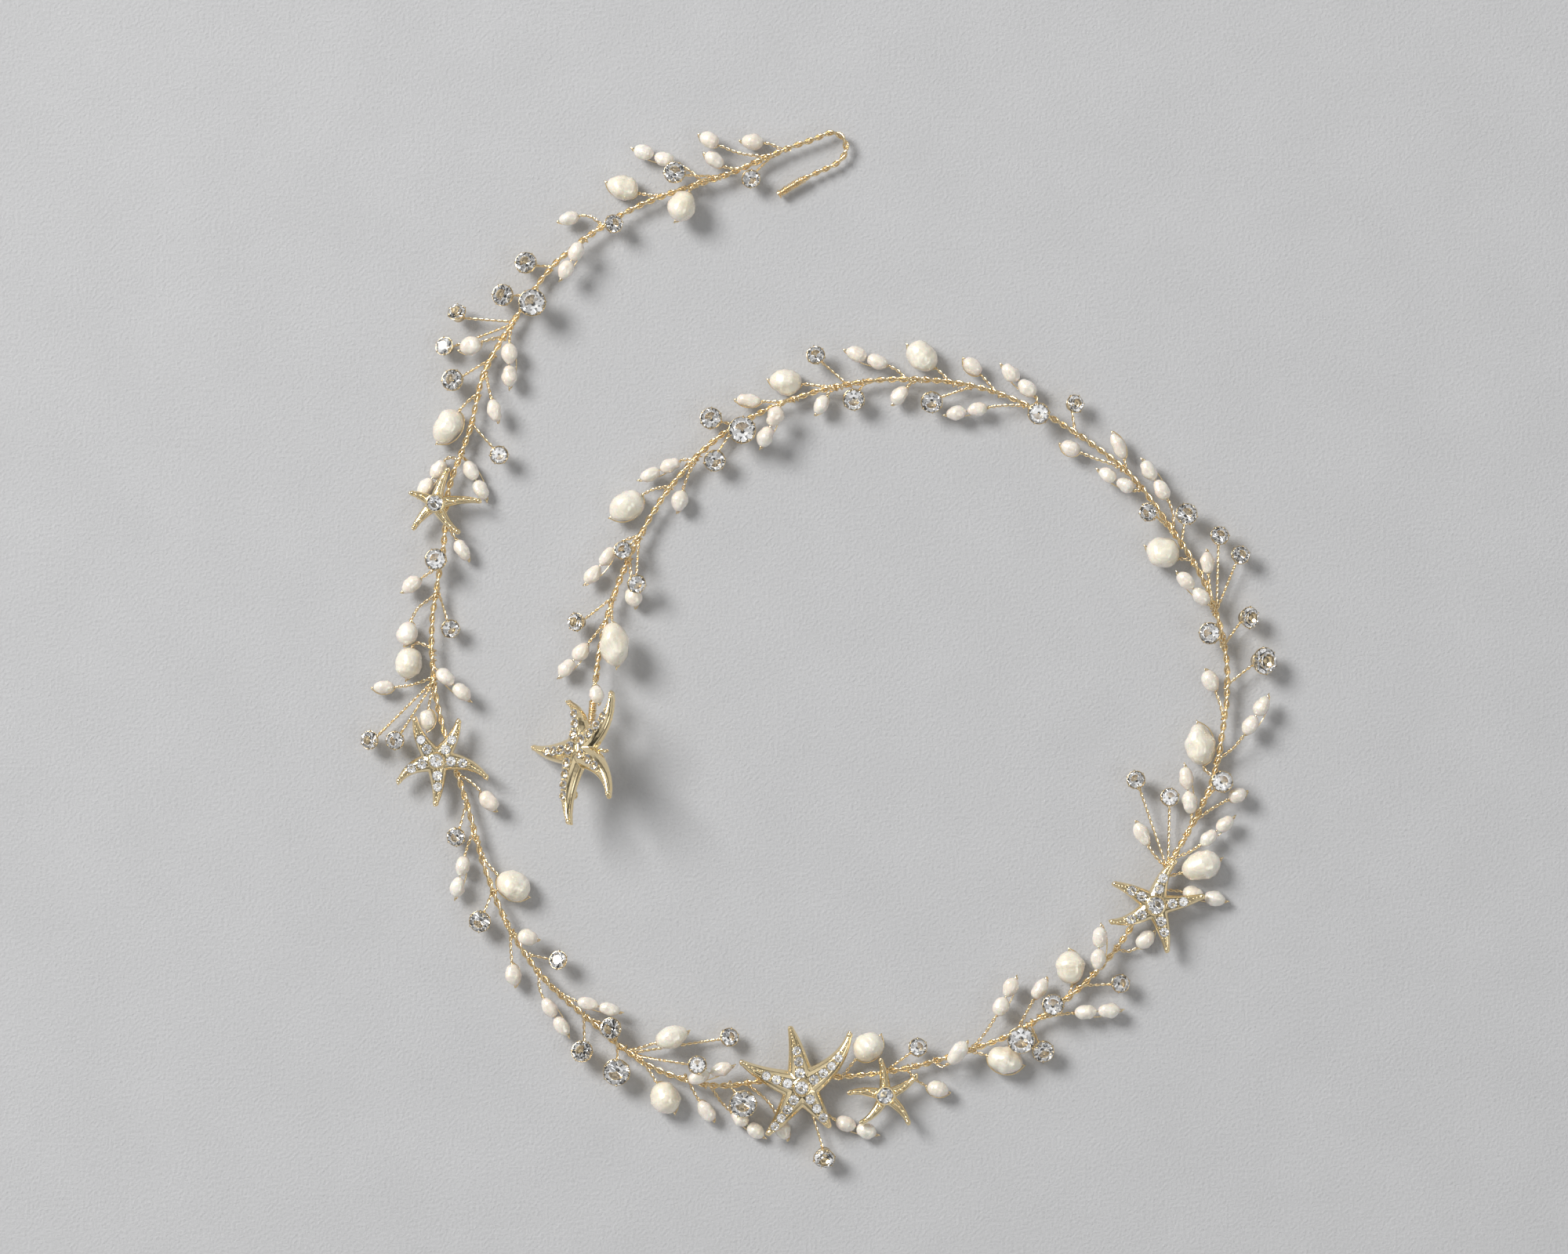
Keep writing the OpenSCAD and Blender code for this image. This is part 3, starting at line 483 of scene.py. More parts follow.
# %% One turn of a profile
def turned(bm, profile, steps, place=(0, 0, 0)):
    """Spins a profile round an upright line through a place."""
    verts = [bm.verts.new(Vector(place) + Vector((x, 0, z))) for x, z in profile]
    edges = [bm.edges.new(pair) for pair in zip(verts, verts[1:])]
    bmesh.ops.spin(
        bm, geom=verts + edges, cent=place, axis=(0, 0, 1), angle=math.tau, steps=steps,
        use_merge=True,
    )

# %% [markdown]
# ## Wire
# Wire is drawn round, so a curve with a round bevel is the natural way to make it. What
# matters is the line that it follows. A smooth line passes through the few points of the
# layout, and helices round that line give the strands of a twist.

# %% Smooth lines, evenly spaced points and directions across them
def smooth(points, parts=6):
    """Points of a smooth line that passes through the given ones."""
    before, after = 2 * points[0] - points[1], 2 * points[-1] - points[-2]
    line = [before, *points, after]
    result = []
    for a, b, c, d in zip(line, line[1:], line[2:], line[3:]):
        for k in range(parts):
            t = k / parts
            bow = (2 * a - 5 * b + 4 * c - d) * t**2 + (3 * b - 3 * c + d - a) * t**3
            result.append(0.5 * (2 * b + (c - a) * t + bow))
    return result + [points[-1]]


def evenly(points, step):
    """The same line with its points a step apart."""
    length = sum((b - a).length for a, b in zip(points, points[1:]))
    count = max(2, round(length / step))
    wanted, result, walked = 0.0, [], 0.0
    for a, b in zip(points, points[1:]):
        piece = (b - a).length
        while wanted <= walked + piece + 1e-12 and len(result) < count:
            result.append(a.lerp(b, (wanted - walked) / piece if piece else 0))
            wanted += length / count
        walked += piece
    return result + [points[-1]]


def across(points):
    """Two directions across a line at each point, turned as little as possible."""
    last = len(points) - 1
    side, result = None, []
    for i in range(last + 1):
        along = (points[min(i + 1, last)] - points[max(i - 1, 0)]).normalized()
        side = along.orthogonal() if side is None else side - side.dot(along) * along
        side.normalize()
        result.append((side.copy(), along.cross(side)))
    return result

# %% Strands round a line
SWELLS_A_TURN, SLACK_TURN = 0.9, 1.5


def helix(points, radius, pitch, phase, loose=0.0, seed=0.0):
    """One strand that winds round a line. Loose strands swell and shrink a little."""
    walked, result = 0.0, []
    for i, (a, b) in enumerate(across(points)):
        walked += (points[i] - points[i - 1]).length if i else 0.0
        slack = loose * noise.noise(Vector((walked / pitch * SWELLS_A_TURN, seed, 0)))
        turn = math.tau * (walked / pitch + phase) + SLACK_TURN * slack
        reach = radius * (1 + slack)
        result.append(points[i] + reach * (math.cos(turn) * a + math.sin(turn) * b))
    return result

# %% Round wires along lines
def keep_wires(name, lines, width, rounds=1, material=gilt_wire, node="wire"):
    """Makes a piece of round wires along the lines."""
    curve = bpy.data.curves.new(name, "CURVE")
    curve.dimensions = "3D"
    curve.bevel_depth = width / 2
    curve.bevel_resolution = rounds
    curve.use_fill_caps = True
    for line in lines:
        spline = curve.splines.new("POLY")
        spline.points.add(len(line) - 1)
        spline.points.foreach_set("co", [c for p in line for c in (*p, 1.0)])
        spline.use_smooth = True
    carrier = bpy.data.objects.new(name, curve)
    bpy.context.scene.collection.objects.link(carrier)
    shaped = carrier.evaluated_get(bpy.context.evaluated_depsgraph_get())
    mesh = bpy.data.meshes.new_from_object(shaped)
    mesh.name = name
    bpy.data.objects.remove(carrier)
    bpy.data.curves.remove(curve)
    keep(mesh, [material], node)

# %% [markdown]
# ### Main wire
# The main wire is four gilt strands in a loose twist: two thick outer ones that cross about
# every 2.4 mm, and two thin ones that fill the middle. They are never quite even, so each
# swells and shrinks a little by itself.

# %% Four strands of the main wire
STRAND_D, CORE_D = 0.46 * MM, 0.32 * MM
OUTER_R, INNER_R = 0.48 * MM, 0.2 * MM
STEM_PITCH = 4.9 * MM
STEM_STEP = STEM_PITCH / 13
STEM_LOOSE, SEED_STEP = 0.3, 7.3
stem_line = evenly(smooth([on_grid(row) for row in HOOK + STEM]), STEM_STEP)
print("the main wire is", round((len(stem_line) - 1) * STEM_STEP / MM), "mm long with its hook")


def stem_strands(radius, phases):
    """Strands of the main wire at a distance from its middle line."""
    return [helix(stem_line, radius, STEM_PITCH, p, STEM_LOOSE, SEED_STEP * p) for p in phases]


keep_wires("main_wire", stem_strands(OUTER_R, (0, 0.5)), STRAND_D, rounds=2)
keep_wires("main_wire_core", stem_strands(INNER_R, (0.25, 0.75)), CORE_D)

# %% [markdown]
# ### Side wires
# One strand makes a whole side wire. It winds round the main wire, twists with itself on the
# way out, passes through the pearl's hole, turns over in a small loop and comes back under
# the pearl or beside it. A side wire to a cup is a closer twist, soldered to the cup's foot.

# %% Winding round the main wire, and the twist on the way out
TWIST_D = 0.3 * MM
CLOSE_TWIST_R, OPEN_TWIST_R = 0.18 * MM, 0.24 * MM
TWIST_PITCH, TWIST_LOOSE = 2.6 * MM, 0.25
TWIST_STEP = TWIST_PITCH / 9
WIND_R, WIND_STEP = 0.66 * MM, 3.6 * TWIST_D
STEPS_A_TURN = 14
dice = random.Random(11)


def stem_direction(at):
    k = min(int(at), len(STEM) - 2)
    return (on_grid(STEM[k + 1]) - on_grid(STEM[k])).normalized()


def winding(at, towards, turns):
    """A strand wound round the main wire that ends on the side that faces a point."""
    centre, along = on_stem(at), stem_direction(at)
    out = towards - centre
    a = (out - out.dot(along) * along).normalized()
    b = along.cross(a)
    steps = round(STEPS_A_TURN * turns)
    way = dice.choice((-1, 1))
    result = []
    for i in range(steps + 1):
        left = turns * (1 - i / steps)
        turn = way * math.tau * left
        place = centre - way * left * WIND_STEP * along
        result.append(place + WIND_R * (math.cos(turn) * a + math.sin(turn) * b))
    return result


def twisted_pair(line, radius):
    """The two strands of a side wire along a line."""
    points = evenly(smooth(line), TWIST_STEP)
    phase = dice.random()
    return [
        helix(points, radius, TWIST_PITCH, phase + half, TWIST_LOOSE, phase) for half in (0, 0.5)
    ]

# %% The strand's end, which turns over past the pearl and comes back
LOWER_RIGHT = Vector((0.6, -0.8, 0))
UNDER_SHARE, UNDER, BESIDE = 0.75, (32, 55), (-5, 15)
LOOP = ((0.3 * MM, 0.1 * MM), (0.25 * MM, 0.42 * MM))
HUG_TURNS = (28, 50, 72, 95, 118, 140, 158)


def turned_over(centre, away, half, width, tip):
    """Points of a small loop at the tip and of the way back under the pearl or beside it."""
    side = UP.cross(away)
    side = side if side.dot(LOWER_RIGHT) > 0 else -side
    below = math.radians(dice.uniform(*(UNDER if dice.random() < UNDER_SHARE else BESIDE)))
    side = math.cos(below) * side - math.sin(below) * UP
    loop = [tip + a * away + b * side for a, b in LOOP]
    long, wide = half + 0.12 * MM, width / 2 + 0.1 * MM
    turns = [math.radians(degrees) for degrees in HUG_TURNS]
    return loop + [centre + long * math.cos(a) * away + wide * math.sin(a) * side for a in turns]

# %% Side wires that carry pearls
STRAIGHT_SHARE, CORNER_SHARE = 0.4, 0.5


def pearl_wire(row, half, width):
    """One strand from the main wire through a pearl and back."""
    away = heading(row[3])
    centre = on_grid(row, above=width / 2)
    start = on_stem(row[6])
    mouth = centre - (half + PEARL_GAP) * away
    corner = mouth - STRAIGHT_SHARE * (mouth - start).length * away
    turn_in = CORNER_SHARE * corner + (1 - CORNER_SHARE) * (start + mouth) / 2
    leave = start.lerp(turn_in, min(0.5, WIND_R / (turn_in - start).length))
    stop = mouth - 0.5 * PEARL_GAP * away
    out, back = twisted_pair([leave, turn_in, stop], OPEN_TWIST_R)
    tip = centre + (half + 0.3 * PEARL_GAP) * away
    end = turned_over(centre, away, half, width, tip)
    through = smooth([out[-1], mouth + 0.3 * MM * away, tip, *end, back[-1]], parts=4)
    wound = winding(row[6], turn_in, dice.choice((1.0, 1.5)))
    return wound + out[1:] + through[1:-1] + back[::-1]


pearl_lines = [pearl_wire(row, RICE_L * row[4] / 2, RICE_W * row[5]) for row in RICE]
pearl_lines += [pearl_wire(row, RICE_L * row[4] + PEARL_GAP / 2, RICE_W * row[5]) for row in PAIRS]
pearl_lines += [pearl_wire(row, LARGE_L * row[4] / 2, LARGE_W * row[5]) for row in LARGE]
keep_wires("pearl_wires", pearl_lines, TWIST_D)

# %% Side wires that carry cups
def cup_wire(row):
    """One strand from the main wire to a cup's foot and back."""
    start = on_stem(row[5])
    foot = on_grid(row, above=CUP_FOOT_H / 2)
    bend = Vector(((start.x + foot.x) / 2, (start.y + foot.y) / 2, foot.z))
    leave = start.lerp(bend, min(0.5, WIND_R / max((bend - start).length, MM / 10)))
    out, back = twisted_pair([leave, bend, foot], CLOSE_TWIST_R)
    return winding(row[5], bend, 1.0) + out[1:] + back[::-1]


keep_wires("cup_wires", [cup_wire(row) for rows in CUPS.values() for row in rows], TWIST_D)

# %% [markdown]
# ### Coils that bind the ends
# The hook's tip and the end behind the last starfish are bound with a few uneven turns of
# the same strand, so that no sharp end sticks out.

# %% Coils at both ends
COIL_R, COIL_STEP, COIL_LOOSE = 0.8 * MM, 1.7 * TWIST_D, 0.35
COIL_POINT = COIL_STEP / 12


def coil(points, length):
    """Turns of a strand round the start of a line."""
    line = evenly(points, COIL_POINT)[:round(length / COIL_POINT)]
    return helix(line, COIL_R, COIL_STEP, 0, loose=COIL_LOOSE)


keep_wires("end_coils", [coil(stem_line, 6.5 * MM), coil(stem_line[::-1], 5 * MM)], TWIST_D)

# %% [markdown]
# ### Rings behind the last starfish
# This starfish leans, and two small rings show past its edge. They are taken for loops on
# its back, such as a casting has that is also sold as a pendant. Each is a closed wire.

# %% Two small rings on the back of the leaning starfish
RING_D, RING_DROP, RING_STEPS = 0.5 * MM, 0.6 * MM, 20


def back_ring(degrees, reach, radius):
    """An upright ring on the back, at a direction and a distance from the middle."""
    out = heading(degrees)
    centre = reach * out - RING_DROP * UP
    turns = [math.tau * k / RING_STEPS for k in range(RING_STEPS + 1)]
    ring = [centre + radius * (math.cos(a) * out - math.sin(a) * UP) for a in turns]
    return [lean(STARS[5]) @ point for point in ring]


back_rings = [back_ring(-2, 6.3 * MM, 1.0 * MM), back_ring(262, 9.5 * MM, 0.8 * MM)]
keep_wires("back_loops", back_rings, RING_D, 2, pale_gold, "starfish_6")

# %% [markdown]
# ## Pearls
# A freshwater pearl is never a plain ball. It is longer than it is wide, narrower at one end,
# and its skin swells in soft lumps with fine rings. A turned egg shape with a dimple at each
# end of its hole is pushed out and in by smooth noise, and the rings run round its length.
# What would reach below the pearl's lowest level is pressed flat there.

# %% Profile and skin of a pearl
DIMPLE_W, DIMPLE_REACH = 0.8, 0.86
TAPER, TURNED_TAPER = 0.12, -0.072
LUMP, LUMPS_A_WIDTH = 0.2, 1.9
RING, RINGS_A_LENGTH = 0.06, 9
CALM_END = 0.3


def pearl_profile(length, width, rings):
    """An egg's outline between its two dimples."""
    bore, half = PEARL_BORE_D / 2, length / 2
    start = math.asin(min(1, 2 * bore / width))
    turns = [start + (math.pi - 2 * start) * i / rings for i in range(rings + 1)]
    low, high = [(bore * DIMPLE_W, way * half * DIMPLE_REACH) for way in (-1, 1)]
    return [low, *((width / 2 * math.sin(a), -half * math.cos(a)) for a in turns), high]


def swell(point, length, width, seed):
    """How far the skin is pushed out at a point, as a share of the distance from the hole."""
    share = point.z / length
    taper = TAPER if seed % 3 else TURNED_TAPER
    offset = Vector((seed * 3.7, seed * 1.9, 0))
    lump = noise.noise(point / width * LUMPS_A_WIDTH + offset)
    ring = noise.noise(Vector((0, share * RINGS_A_LENGTH, seed * 2.3)))
    calm = min(1.0, Vector((point.x, point.y)).length / (CALM_END * width))
    return calm * (LUMP * lump + RING * ring - 4 * taper * share * abs(share))

# %% One pearl
def add_pearl(bm, centre, away, length, width, seed, rings, segments):
    """Adds a lumpy pearl whose hole runs along a direction."""
    others = set(bm.verts)
    turned(bm, pearl_profile(length, width, rings), segments)
    skin = [v for v in bm.verts if v not in others]
    for v in skin:
        grown = 1 + swell(v.co, length, width, seed)
        v.co.x *= grown
        v.co.y *= grown
    turn = away.to_track_quat("Z", "X").to_matrix().to_4x4()
    bmesh.ops.transform(bm, matrix=Matrix.Translation(centre) @ turn, verts=skin)
    for v in skin:
        v.co.z = max(v.co.z, centre.z - width / 2)


def keep_pearls(bm, name, material, node):
    """Makes a piece of the pearls in a bmesh, with their skins outward."""
    bmesh.ops.recalc_face_normals(bm, faces=bm.faces)
    keep(mesh_from(bm, name), [material], node)

# %% Rice pearls, single and in pairs
RICE_RINGS, RICE_SEGMENTS = 20, 24


def add_rice(bm, row, along, seed):
    """Adds a rice pearl of a row, moved along its strand."""
    length, width = RICE_L * row[4], RICE_W * row[5]
    centre = on_grid(row, width / 2) + along * (length + PEARL_GAP) / 2 * heading(row[3])
    add_pearl(bm, centre, heading(row[3]), length, width, seed, RICE_RINGS, RICE_SEGMENTS)


bm = bmesh.new()
for i, row in enumerate(RICE):
    add_rice(bm, row, 0, i + 1)
keep_pearls(bm, "rice_pearls_single", rice_nacre, "rice_pearls")

bm = bmesh.new()
for i, row in enumerate(PAIRS):
    for way in (-1, 1):
        add_rice(bm, row, way, 50 + 2 * i + way)
keep_pearls(bm, "rice_pearls_paired", rice_nacre, "rice_pearl_pairs")

# %% Large pearls
LARGE_RINGS, LARGE_SEGMENTS = 26, 36
for i, row in enumerate(LARGE):
    length, width = LARGE_L * row[4], LARGE_W * row[5]
    centre, away = on_grid(row, width / 2), heading(row[3])
    bm = bmesh.new()
    add_pearl(bm, centre, away, length, width, 200 + i, LARGE_RINGS, LARGE_SEGMENTS)
    keep_pearls(bm, f"freshwater_pearl_{i + 1}", large_nacre, f"large_pearl_{i + 1}")

# %% [markdown]
# ## Cut stones
# A brilliant is cut from a round blank, one flat at a time, and so is this one: a short
# cylinder is sliced by planes, and each slice leaves a facet. The crown's facets stay clear,
# and the girdle and the back's facets get the foil.

# %% Slicing a facet
def slice_off(bm, slope, turn, place):
    """Cuts away what lies outside a plane, whose slope is measured from level."""
    about = Matrix.Rotation(turn, 3, "Z")
    normal = about @ Vector((math.sin(slope), 0, math.cos(slope)))
    cut = bmesh.ops.bisect_plane(
        bm, geom=bm.verts[:] + bm.edges[:] + bm.faces[:], dist=1e-6,
        plane_co=about @ Vector(place), plane_no=normal, clear_outer=True,
    )
    edges = [e for e in cut["geom_cut"] if isinstance(e, bmesh.types.BMEdge)]
    if edges:
        bmesh.ops.holes_fill(bm, edges=edges)

# %% Cutting a brilliant of width 1, with its girdle's lower edge at height 0
TABLE, CROWN, GIRDLE, PAVILION, CULET = 0.56, 0.17, 0.05, 0.4, 0.06
# The small facets are flatter than the large ones by the table and steeper at the girdle
TABLE_FLATTER, CROWN_STEEPER, BACK_STEEPER = 0.24, 0.1, 0.045
NICK, INSIDE_TABLE = 0.002, 0.98
FOIL_TOP = 0.2


def brilliant():
    """A bmesh of a cut stone, clear above and foiled below."""
    bm = bmesh.new()
    bmesh.ops.create_cone(bm, cap_ends=True, segments=32, radius1=0.5, radius2=0.5, depth=2)
    top = GIRDLE + CROWN
    crown = math.atan2(CROWN, 0.5 - TABLE / 2)
    back = math.pi - math.atan2(PAVILION, 0.5 - CULET / 2)
    eighth = math.tau / 8
    slice_off(bm, 0, 0, (0, 0, top))
    slice_off(bm, math.pi, 0, (0, 0, -PAVILION))
    for k in range(8):
        slice_off(bm, crown, k * eighth, (0.5, 0, GIRDLE))
        slice_off(bm, back, k * eighth, (0.5, 0, 0))
    for k in range(8):
        edge = (TABLE / 2 * INSIDE_TABLE, 0, top)
        slice_off(bm, crown - TABLE_FLATTER, (k + 0.5) * eighth, edge)
    for k in range(16):
        turn = (k + 0.5) * eighth / 2
        slice_off(bm, crown + CROWN_STEEPER, turn, (0.5, 0, GIRDLE - NICK))
        slice_off(bm, back - BACK_STEEPER, turn, (0.5, 0, NICK))
    bmesh.ops.recalc_face_normals(bm, faces=bm.faces)
    for face in bm.faces:
        face.material_index = 1 if face.normal.z < FOIL_TOP else 0
    return bm


stone_pattern = mesh_from(brilliant(), "stone_pattern", shade_smooth=False)
print("a stone has", len(stone_pattern.polygons), "facets")

# %% Where a stone lies in its cup
MOST_SPIN = 0.8


def cup_h(cup_d):
    """Height of a cup's rim, which follows from the depth of a stone with a little play."""
    return CUP_FOOT_H + PAVILION * (cup_d - 2 * (CUP_WALL + STONE_FIT))


def stone_place(row, cup_d):
    """A set stone fills its cup, so it is as wide as the cup's inside."""
    seat = Matrix.Translation((cup_h(cup_d) + STONE_FIT) * UP)
    spin = Matrix.Rotation(dice.uniform(0, MOST_SPIN), 4, "Z")
    return lean(row) @ seat @ spin @ Matrix.Scale(cup_d - 2 * CUP_WALL, 4)


def keep_stones(places, name, node):
    """Makes a piece of stones at their places."""
    bm = bmesh.new()
    for place in places:
        add_copy(bm, stone_pattern, place)
    keep(mesh_from(bm, name, shade_smooth=False), [crystal, foil], node)

# %% Stones in cups
for group in ("small", "medium"):
    places = [stone_place(row, CUP_D[group]) for row in CUPS[group]]
    keep_stones(places, f"stones_{group}", f"{group}_stones")
for i, row in enumerate(CUPS["large"]):
    keep_stones([stone_place(row, CUP_D["large"])], f"chaton_{i + 1}", f"large_stone_{i + 1}")

# %% [markdown]
# ### Cups
# A cup is a turned shell with a solid foot. Six small claws rise from its rim and lean over
# the stone's edge.

# %% One cup, its shell and its claws
CLAWS, CLAW_LEAN = 6, math.radians(-40)
CLAW_ROOT_R, CLAW_TIP_R, CLAW_L = 0.15 * MM, 0.08 * MM, 0.7 * MM
CLAW_IN, CLAW_UP = 0.14 * MM, 0.36 * MM


def cup_profile(d):
    """From the foot's middle up the outside, over the rim and down to the inner floor."""
    rim, foot, edge, floor = cup_h(d), CUP_FOOT * d / 2, d / 2, CUP_FOOT_H - 0.2 * MM
    return [
        (0, 0), (foot * 0.8, 0), (foot, 0.12 * MM), (foot * 1.06, CUP_FOOT_H),
        (edge - 0.05 * MM, rim - 0.1 * MM), (edge, rim), (edge - 0.06 * MM, rim + 0.1 * MM),
        (edge - 0.16 * MM, rim + 0.06 * MM), (edge - CUP_WALL, rim - 0.12 * MM),
        (0.12 * d, floor), (0, floor),
    ]


def cup_pattern(d):
    """A finished cup of a width, upright at the origin."""
    bm = bmesh.new()
    turned(bm, cup_profile(d), steps=24)
    bmesh.ops.remove_doubles(bm, verts=bm.verts, dist=1e-7)
    out = Matrix.Translation((d / 2 - CLAW_IN, 0, cup_h(d) + CLAW_UP))
    for k in range(CLAWS):
        claw = bmesh.ops.create_cone(
            bm, cap_ends=True, segments=6, radius1=CLAW_ROOT_R, radius2=CLAW_TIP_R, depth=CLAW_L
        )["verts"]
        turn = Matrix.Rotation(math.tau * k / CLAWS, 4, "Z")
        bmesh.ops.transform(bm, matrix=turn @ out @ Matrix.Rotation(CLAW_LEAN, 4, "Y"), verts=claw)
    bmesh.ops.recalc_face_normals(bm, faces=bm.faces)
    return mesh_from(bm, "cup_pattern")

# %% A cup at the end of every cup wire
bm = bmesh.new()
for group, rows in CUPS.items():
    pattern = cup_pattern(CUP_D[group])
    for row in rows:
        add_copy(bm, pattern, lean(row) @ Matrix.Rotation(dice.uniform(0, 1), 4, "Z"))
    bpy.data.meshes.remove(pattern)
keep(mesh_from(bm, "stone_cups"), [gilt_wire], "wire")

# %% [markdown]
# ## Starfish
# Each starfish is a casting with rounded arms, blunt tips and round seats for its stones.
# The arms are lofted one by one and fused into one skin by a remesh. It would blur sharp
# edges, so the seats are drilled after it. The setter raises small beads beside each stone
# to hold it, and a row of beads runs on to the tip of each arm.

# %% Sizes of the starfish
STAR_R = {"small": 8.4 * MM, "medium": 11 * MM, "large": 15 * MM}
STAR_H = {"small": 1.4 * MM, "medium": 2.6 * MM, "large": 3.2 * MM}
# Half an arm's width at its tip, and what it gains towards its root, as shares of the reach
TIP_HALF = {"small": 0.055, "medium": 0.045, "large": 0.035}
ROOT_HALF = {"small": 0.11, "medium": 0.165, "large": 0.185}
# Thickness of the tip as a share of the root's
TIP_H = {"small": 0.7, "medium": 0.45, "large": 0.42}
ARM_STONE_D = 2.2 * MM
SEAT_DEPTH, HEART_DROP = 0.7 * MM, 0.1 * MM
# Distances from the middle to the first stone and on to each next one, where 1 would touch,
# and each next stone's width as a share of the last one's
FIRST_STONE, NEXT_STONE, STONE_SHRINK = 1.25, 1.15, 0.95
print("the largest starfish reaches", round(STAR_R["large"] / MM, 1), "mm from its middle")

# %% Arms: middle line, half width and thickness at a share of their length
def share_of(arm, size, length):
    return length / arm[2] / STAR_R[size]


def arm_turn(arm, s):
    return arm[0] + (arm[1] - arm[0]) * s * s


def arm_place(arm, size, s):
    return s * arm[2] * STAR_R[size] * heading(arm_turn(arm, s))


def arm_half(size, s):
    return STAR_R[size] * (ROOT_HALF[size] * (1 - s) + TIP_HALF[size])


def arm_h(size, s):
    return STAR_H[size] * (1 - (1 - TIP_H[size]) * s)

# %% Widths and places of the stones along an arm, and their seats
def arm_stone(k):
    return ARM_STONE_D * STONE_SHRINK**k


def stone_reach(heart, k):
    if k == 0:
        return (heart + ARM_STONE_D) / 2 * FIRST_STONE
    return stone_reach(heart, k - 1) + (arm_stone(k - 1) + arm_stone(k)) / 2 * NEXT_STONE


def seats(row, arms):
    """Place, width and floor of every stone on a starfish, in its own frame."""
    size, heart = row[5], row[6]
    floor = STAR_H[size] if size == "small" else arm_h(size, 0) - SEAT_DEPTH - HEART_DROP
    result = [(Vector(), heart, floor)]
    for arm in arms:
        for k in range(arm[3]):
            s = share_of(arm, size, stone_reach(heart, k))
            result.append((arm_place(arm, size, s), arm_stone(k), arm_h(size, s) - SEAT_DEPTH))
    return result

# %% Outline across an arm, in shares of its half width and of its thickness
SKIRT, DOME_STEPS = 0.3, 8


def dome(x):
    """Height of an arm's rounded top at a share of its half width."""
    return SKIRT + (1 - SKIRT) * math.sqrt(max(0, 1 - x * x))


turns = [math.pi * k / DOME_STEPS for k in range(DOME_STEPS, -1, -1)]
ARM_OUTLINE = [(-1, 0), *((math.cos(a), dome(math.cos(a))) for a in turns), (1, 0)]
print("an arm's outline has", len(ARM_OUTLINE), "points")

# %% Loft of one arm
ARM_SECTIONS, ARM_SWELL = 14, 1.05
# Where the last part of an arm starts, how long it is and how much it narrows
END_START, END_PART, END_NARROWS = 0.9, 0.1, 0.3
TIP_BALL, TIP_LIFT = 1.4, 1.1


def add_arm(bm, arm, size):
    """A solid arm whose sides are upright below and whose top is rounded."""
    loops = []
    for i in range(ARM_SECTIONS + 1):
        s = i / ARM_SECTIONS
        side = heading(arm_turn(arm, s) + 90)
        end = ARM_SWELL * (1 - END_NARROWS * max(0, (s - END_START) / END_PART) ** 2)
        place = arm_place(arm, size, s)
        loops.append([
            bm.verts.new(place + x * end * arm_half(size, s) * side + z * arm_h(size, s) * UP)
            for x, z in ARM_OUTLINE
        ])
    rings = [[bm.edges.new((a, b)) for a, b in zip(loop, loop[1:] + loop[:1])] for loop in loops]
    for near, far in zip(rings, rings[1:]):
        bmesh.ops.bridge_loops(bm, edges=near + far)
    bmesh.ops.holes_fill(bm, edges=rings[0] + rings[-1])
    ball = TIP_BALL * arm_half(size, 1)
    tip = bmesh.ops.create_icosphere(bm, subdivisions=2, radius=ball)["verts"]
    place = arm_place(arm, size, 1 - share_of(arm, size, ball))
    bmesh.ops.translate(bm, verts=tip, vec=place + TIP_LIFT * ball * UP)

# %% Objects that carry modifiers for a while
def apply_modifiers(item):
    """Replaces an object's mesh by what its modifiers make of it."""
    evaluated = item.evaluated_get(bpy.context.evaluated_depsgraph_get())
    mesh = bpy.data.meshes.new_from_object(evaluated)
    item.modifiers.clear()
    old, item.data = item.data, mesh
    bpy.data.meshes.remove(old)


def carrier_of(bm, name):
    """An object with what a bmesh holds."""
    item = bpy.data.objects.new(name, mesh_from(bm, name, shade_smooth=False))
    bpy.context.scene.collection.objects.link(item)
    return item

# %% Fuse the arms and the middle
VOXEL = {"small": 0.09 * MM, "medium": 0.13 * MM, "large": 0.13 * MM}
SMOOTHINGS = {"small": 3, "medium": 3, "large": 6}


def fused_star(row, arms):
    """The arms and the raised middle of a starfish in one skin."""
    size, heart = row[5], row[6]
    bm = bmesh.new()
    for arm in arms:
        add_arm(bm, arm, size)
    boss = heart / 2 + STONE_FIT + CUP_WALL
    boss_h = STAR_H[size] + (PAVILION * heart if size == "small" else 0.1 * MM)
    disc = bmesh.ops.create_cone(
        bm, cap_ends=True, segments=32, radius1=boss, radius2=boss, depth=boss_h
    )["verts"]
    bmesh.ops.translate(bm, verts=disc, vec=boss_h / 2 * UP)
    bmesh.ops.recalc_face_normals(bm, faces=bm.faces)
    body = carrier_of(bm, "casting")
    fuse = body.modifiers.new("fuse", "REMESH")
    fuse.mode, fuse.voxel_size = "VOXEL", VOXEL[size]
    soften = body.modifiers.new("soften", "SMOOTH")
    soften.factor, soften.iterations = 0.5, SMOOTHINGS[size]
    apply_modifiers(body)
    return body

# %% Drill the seats
SEAT_PLAY = 0.6 * STONE_FIT
SEAT_FLOOR = 0.55
DRILL_L = 4 * MM


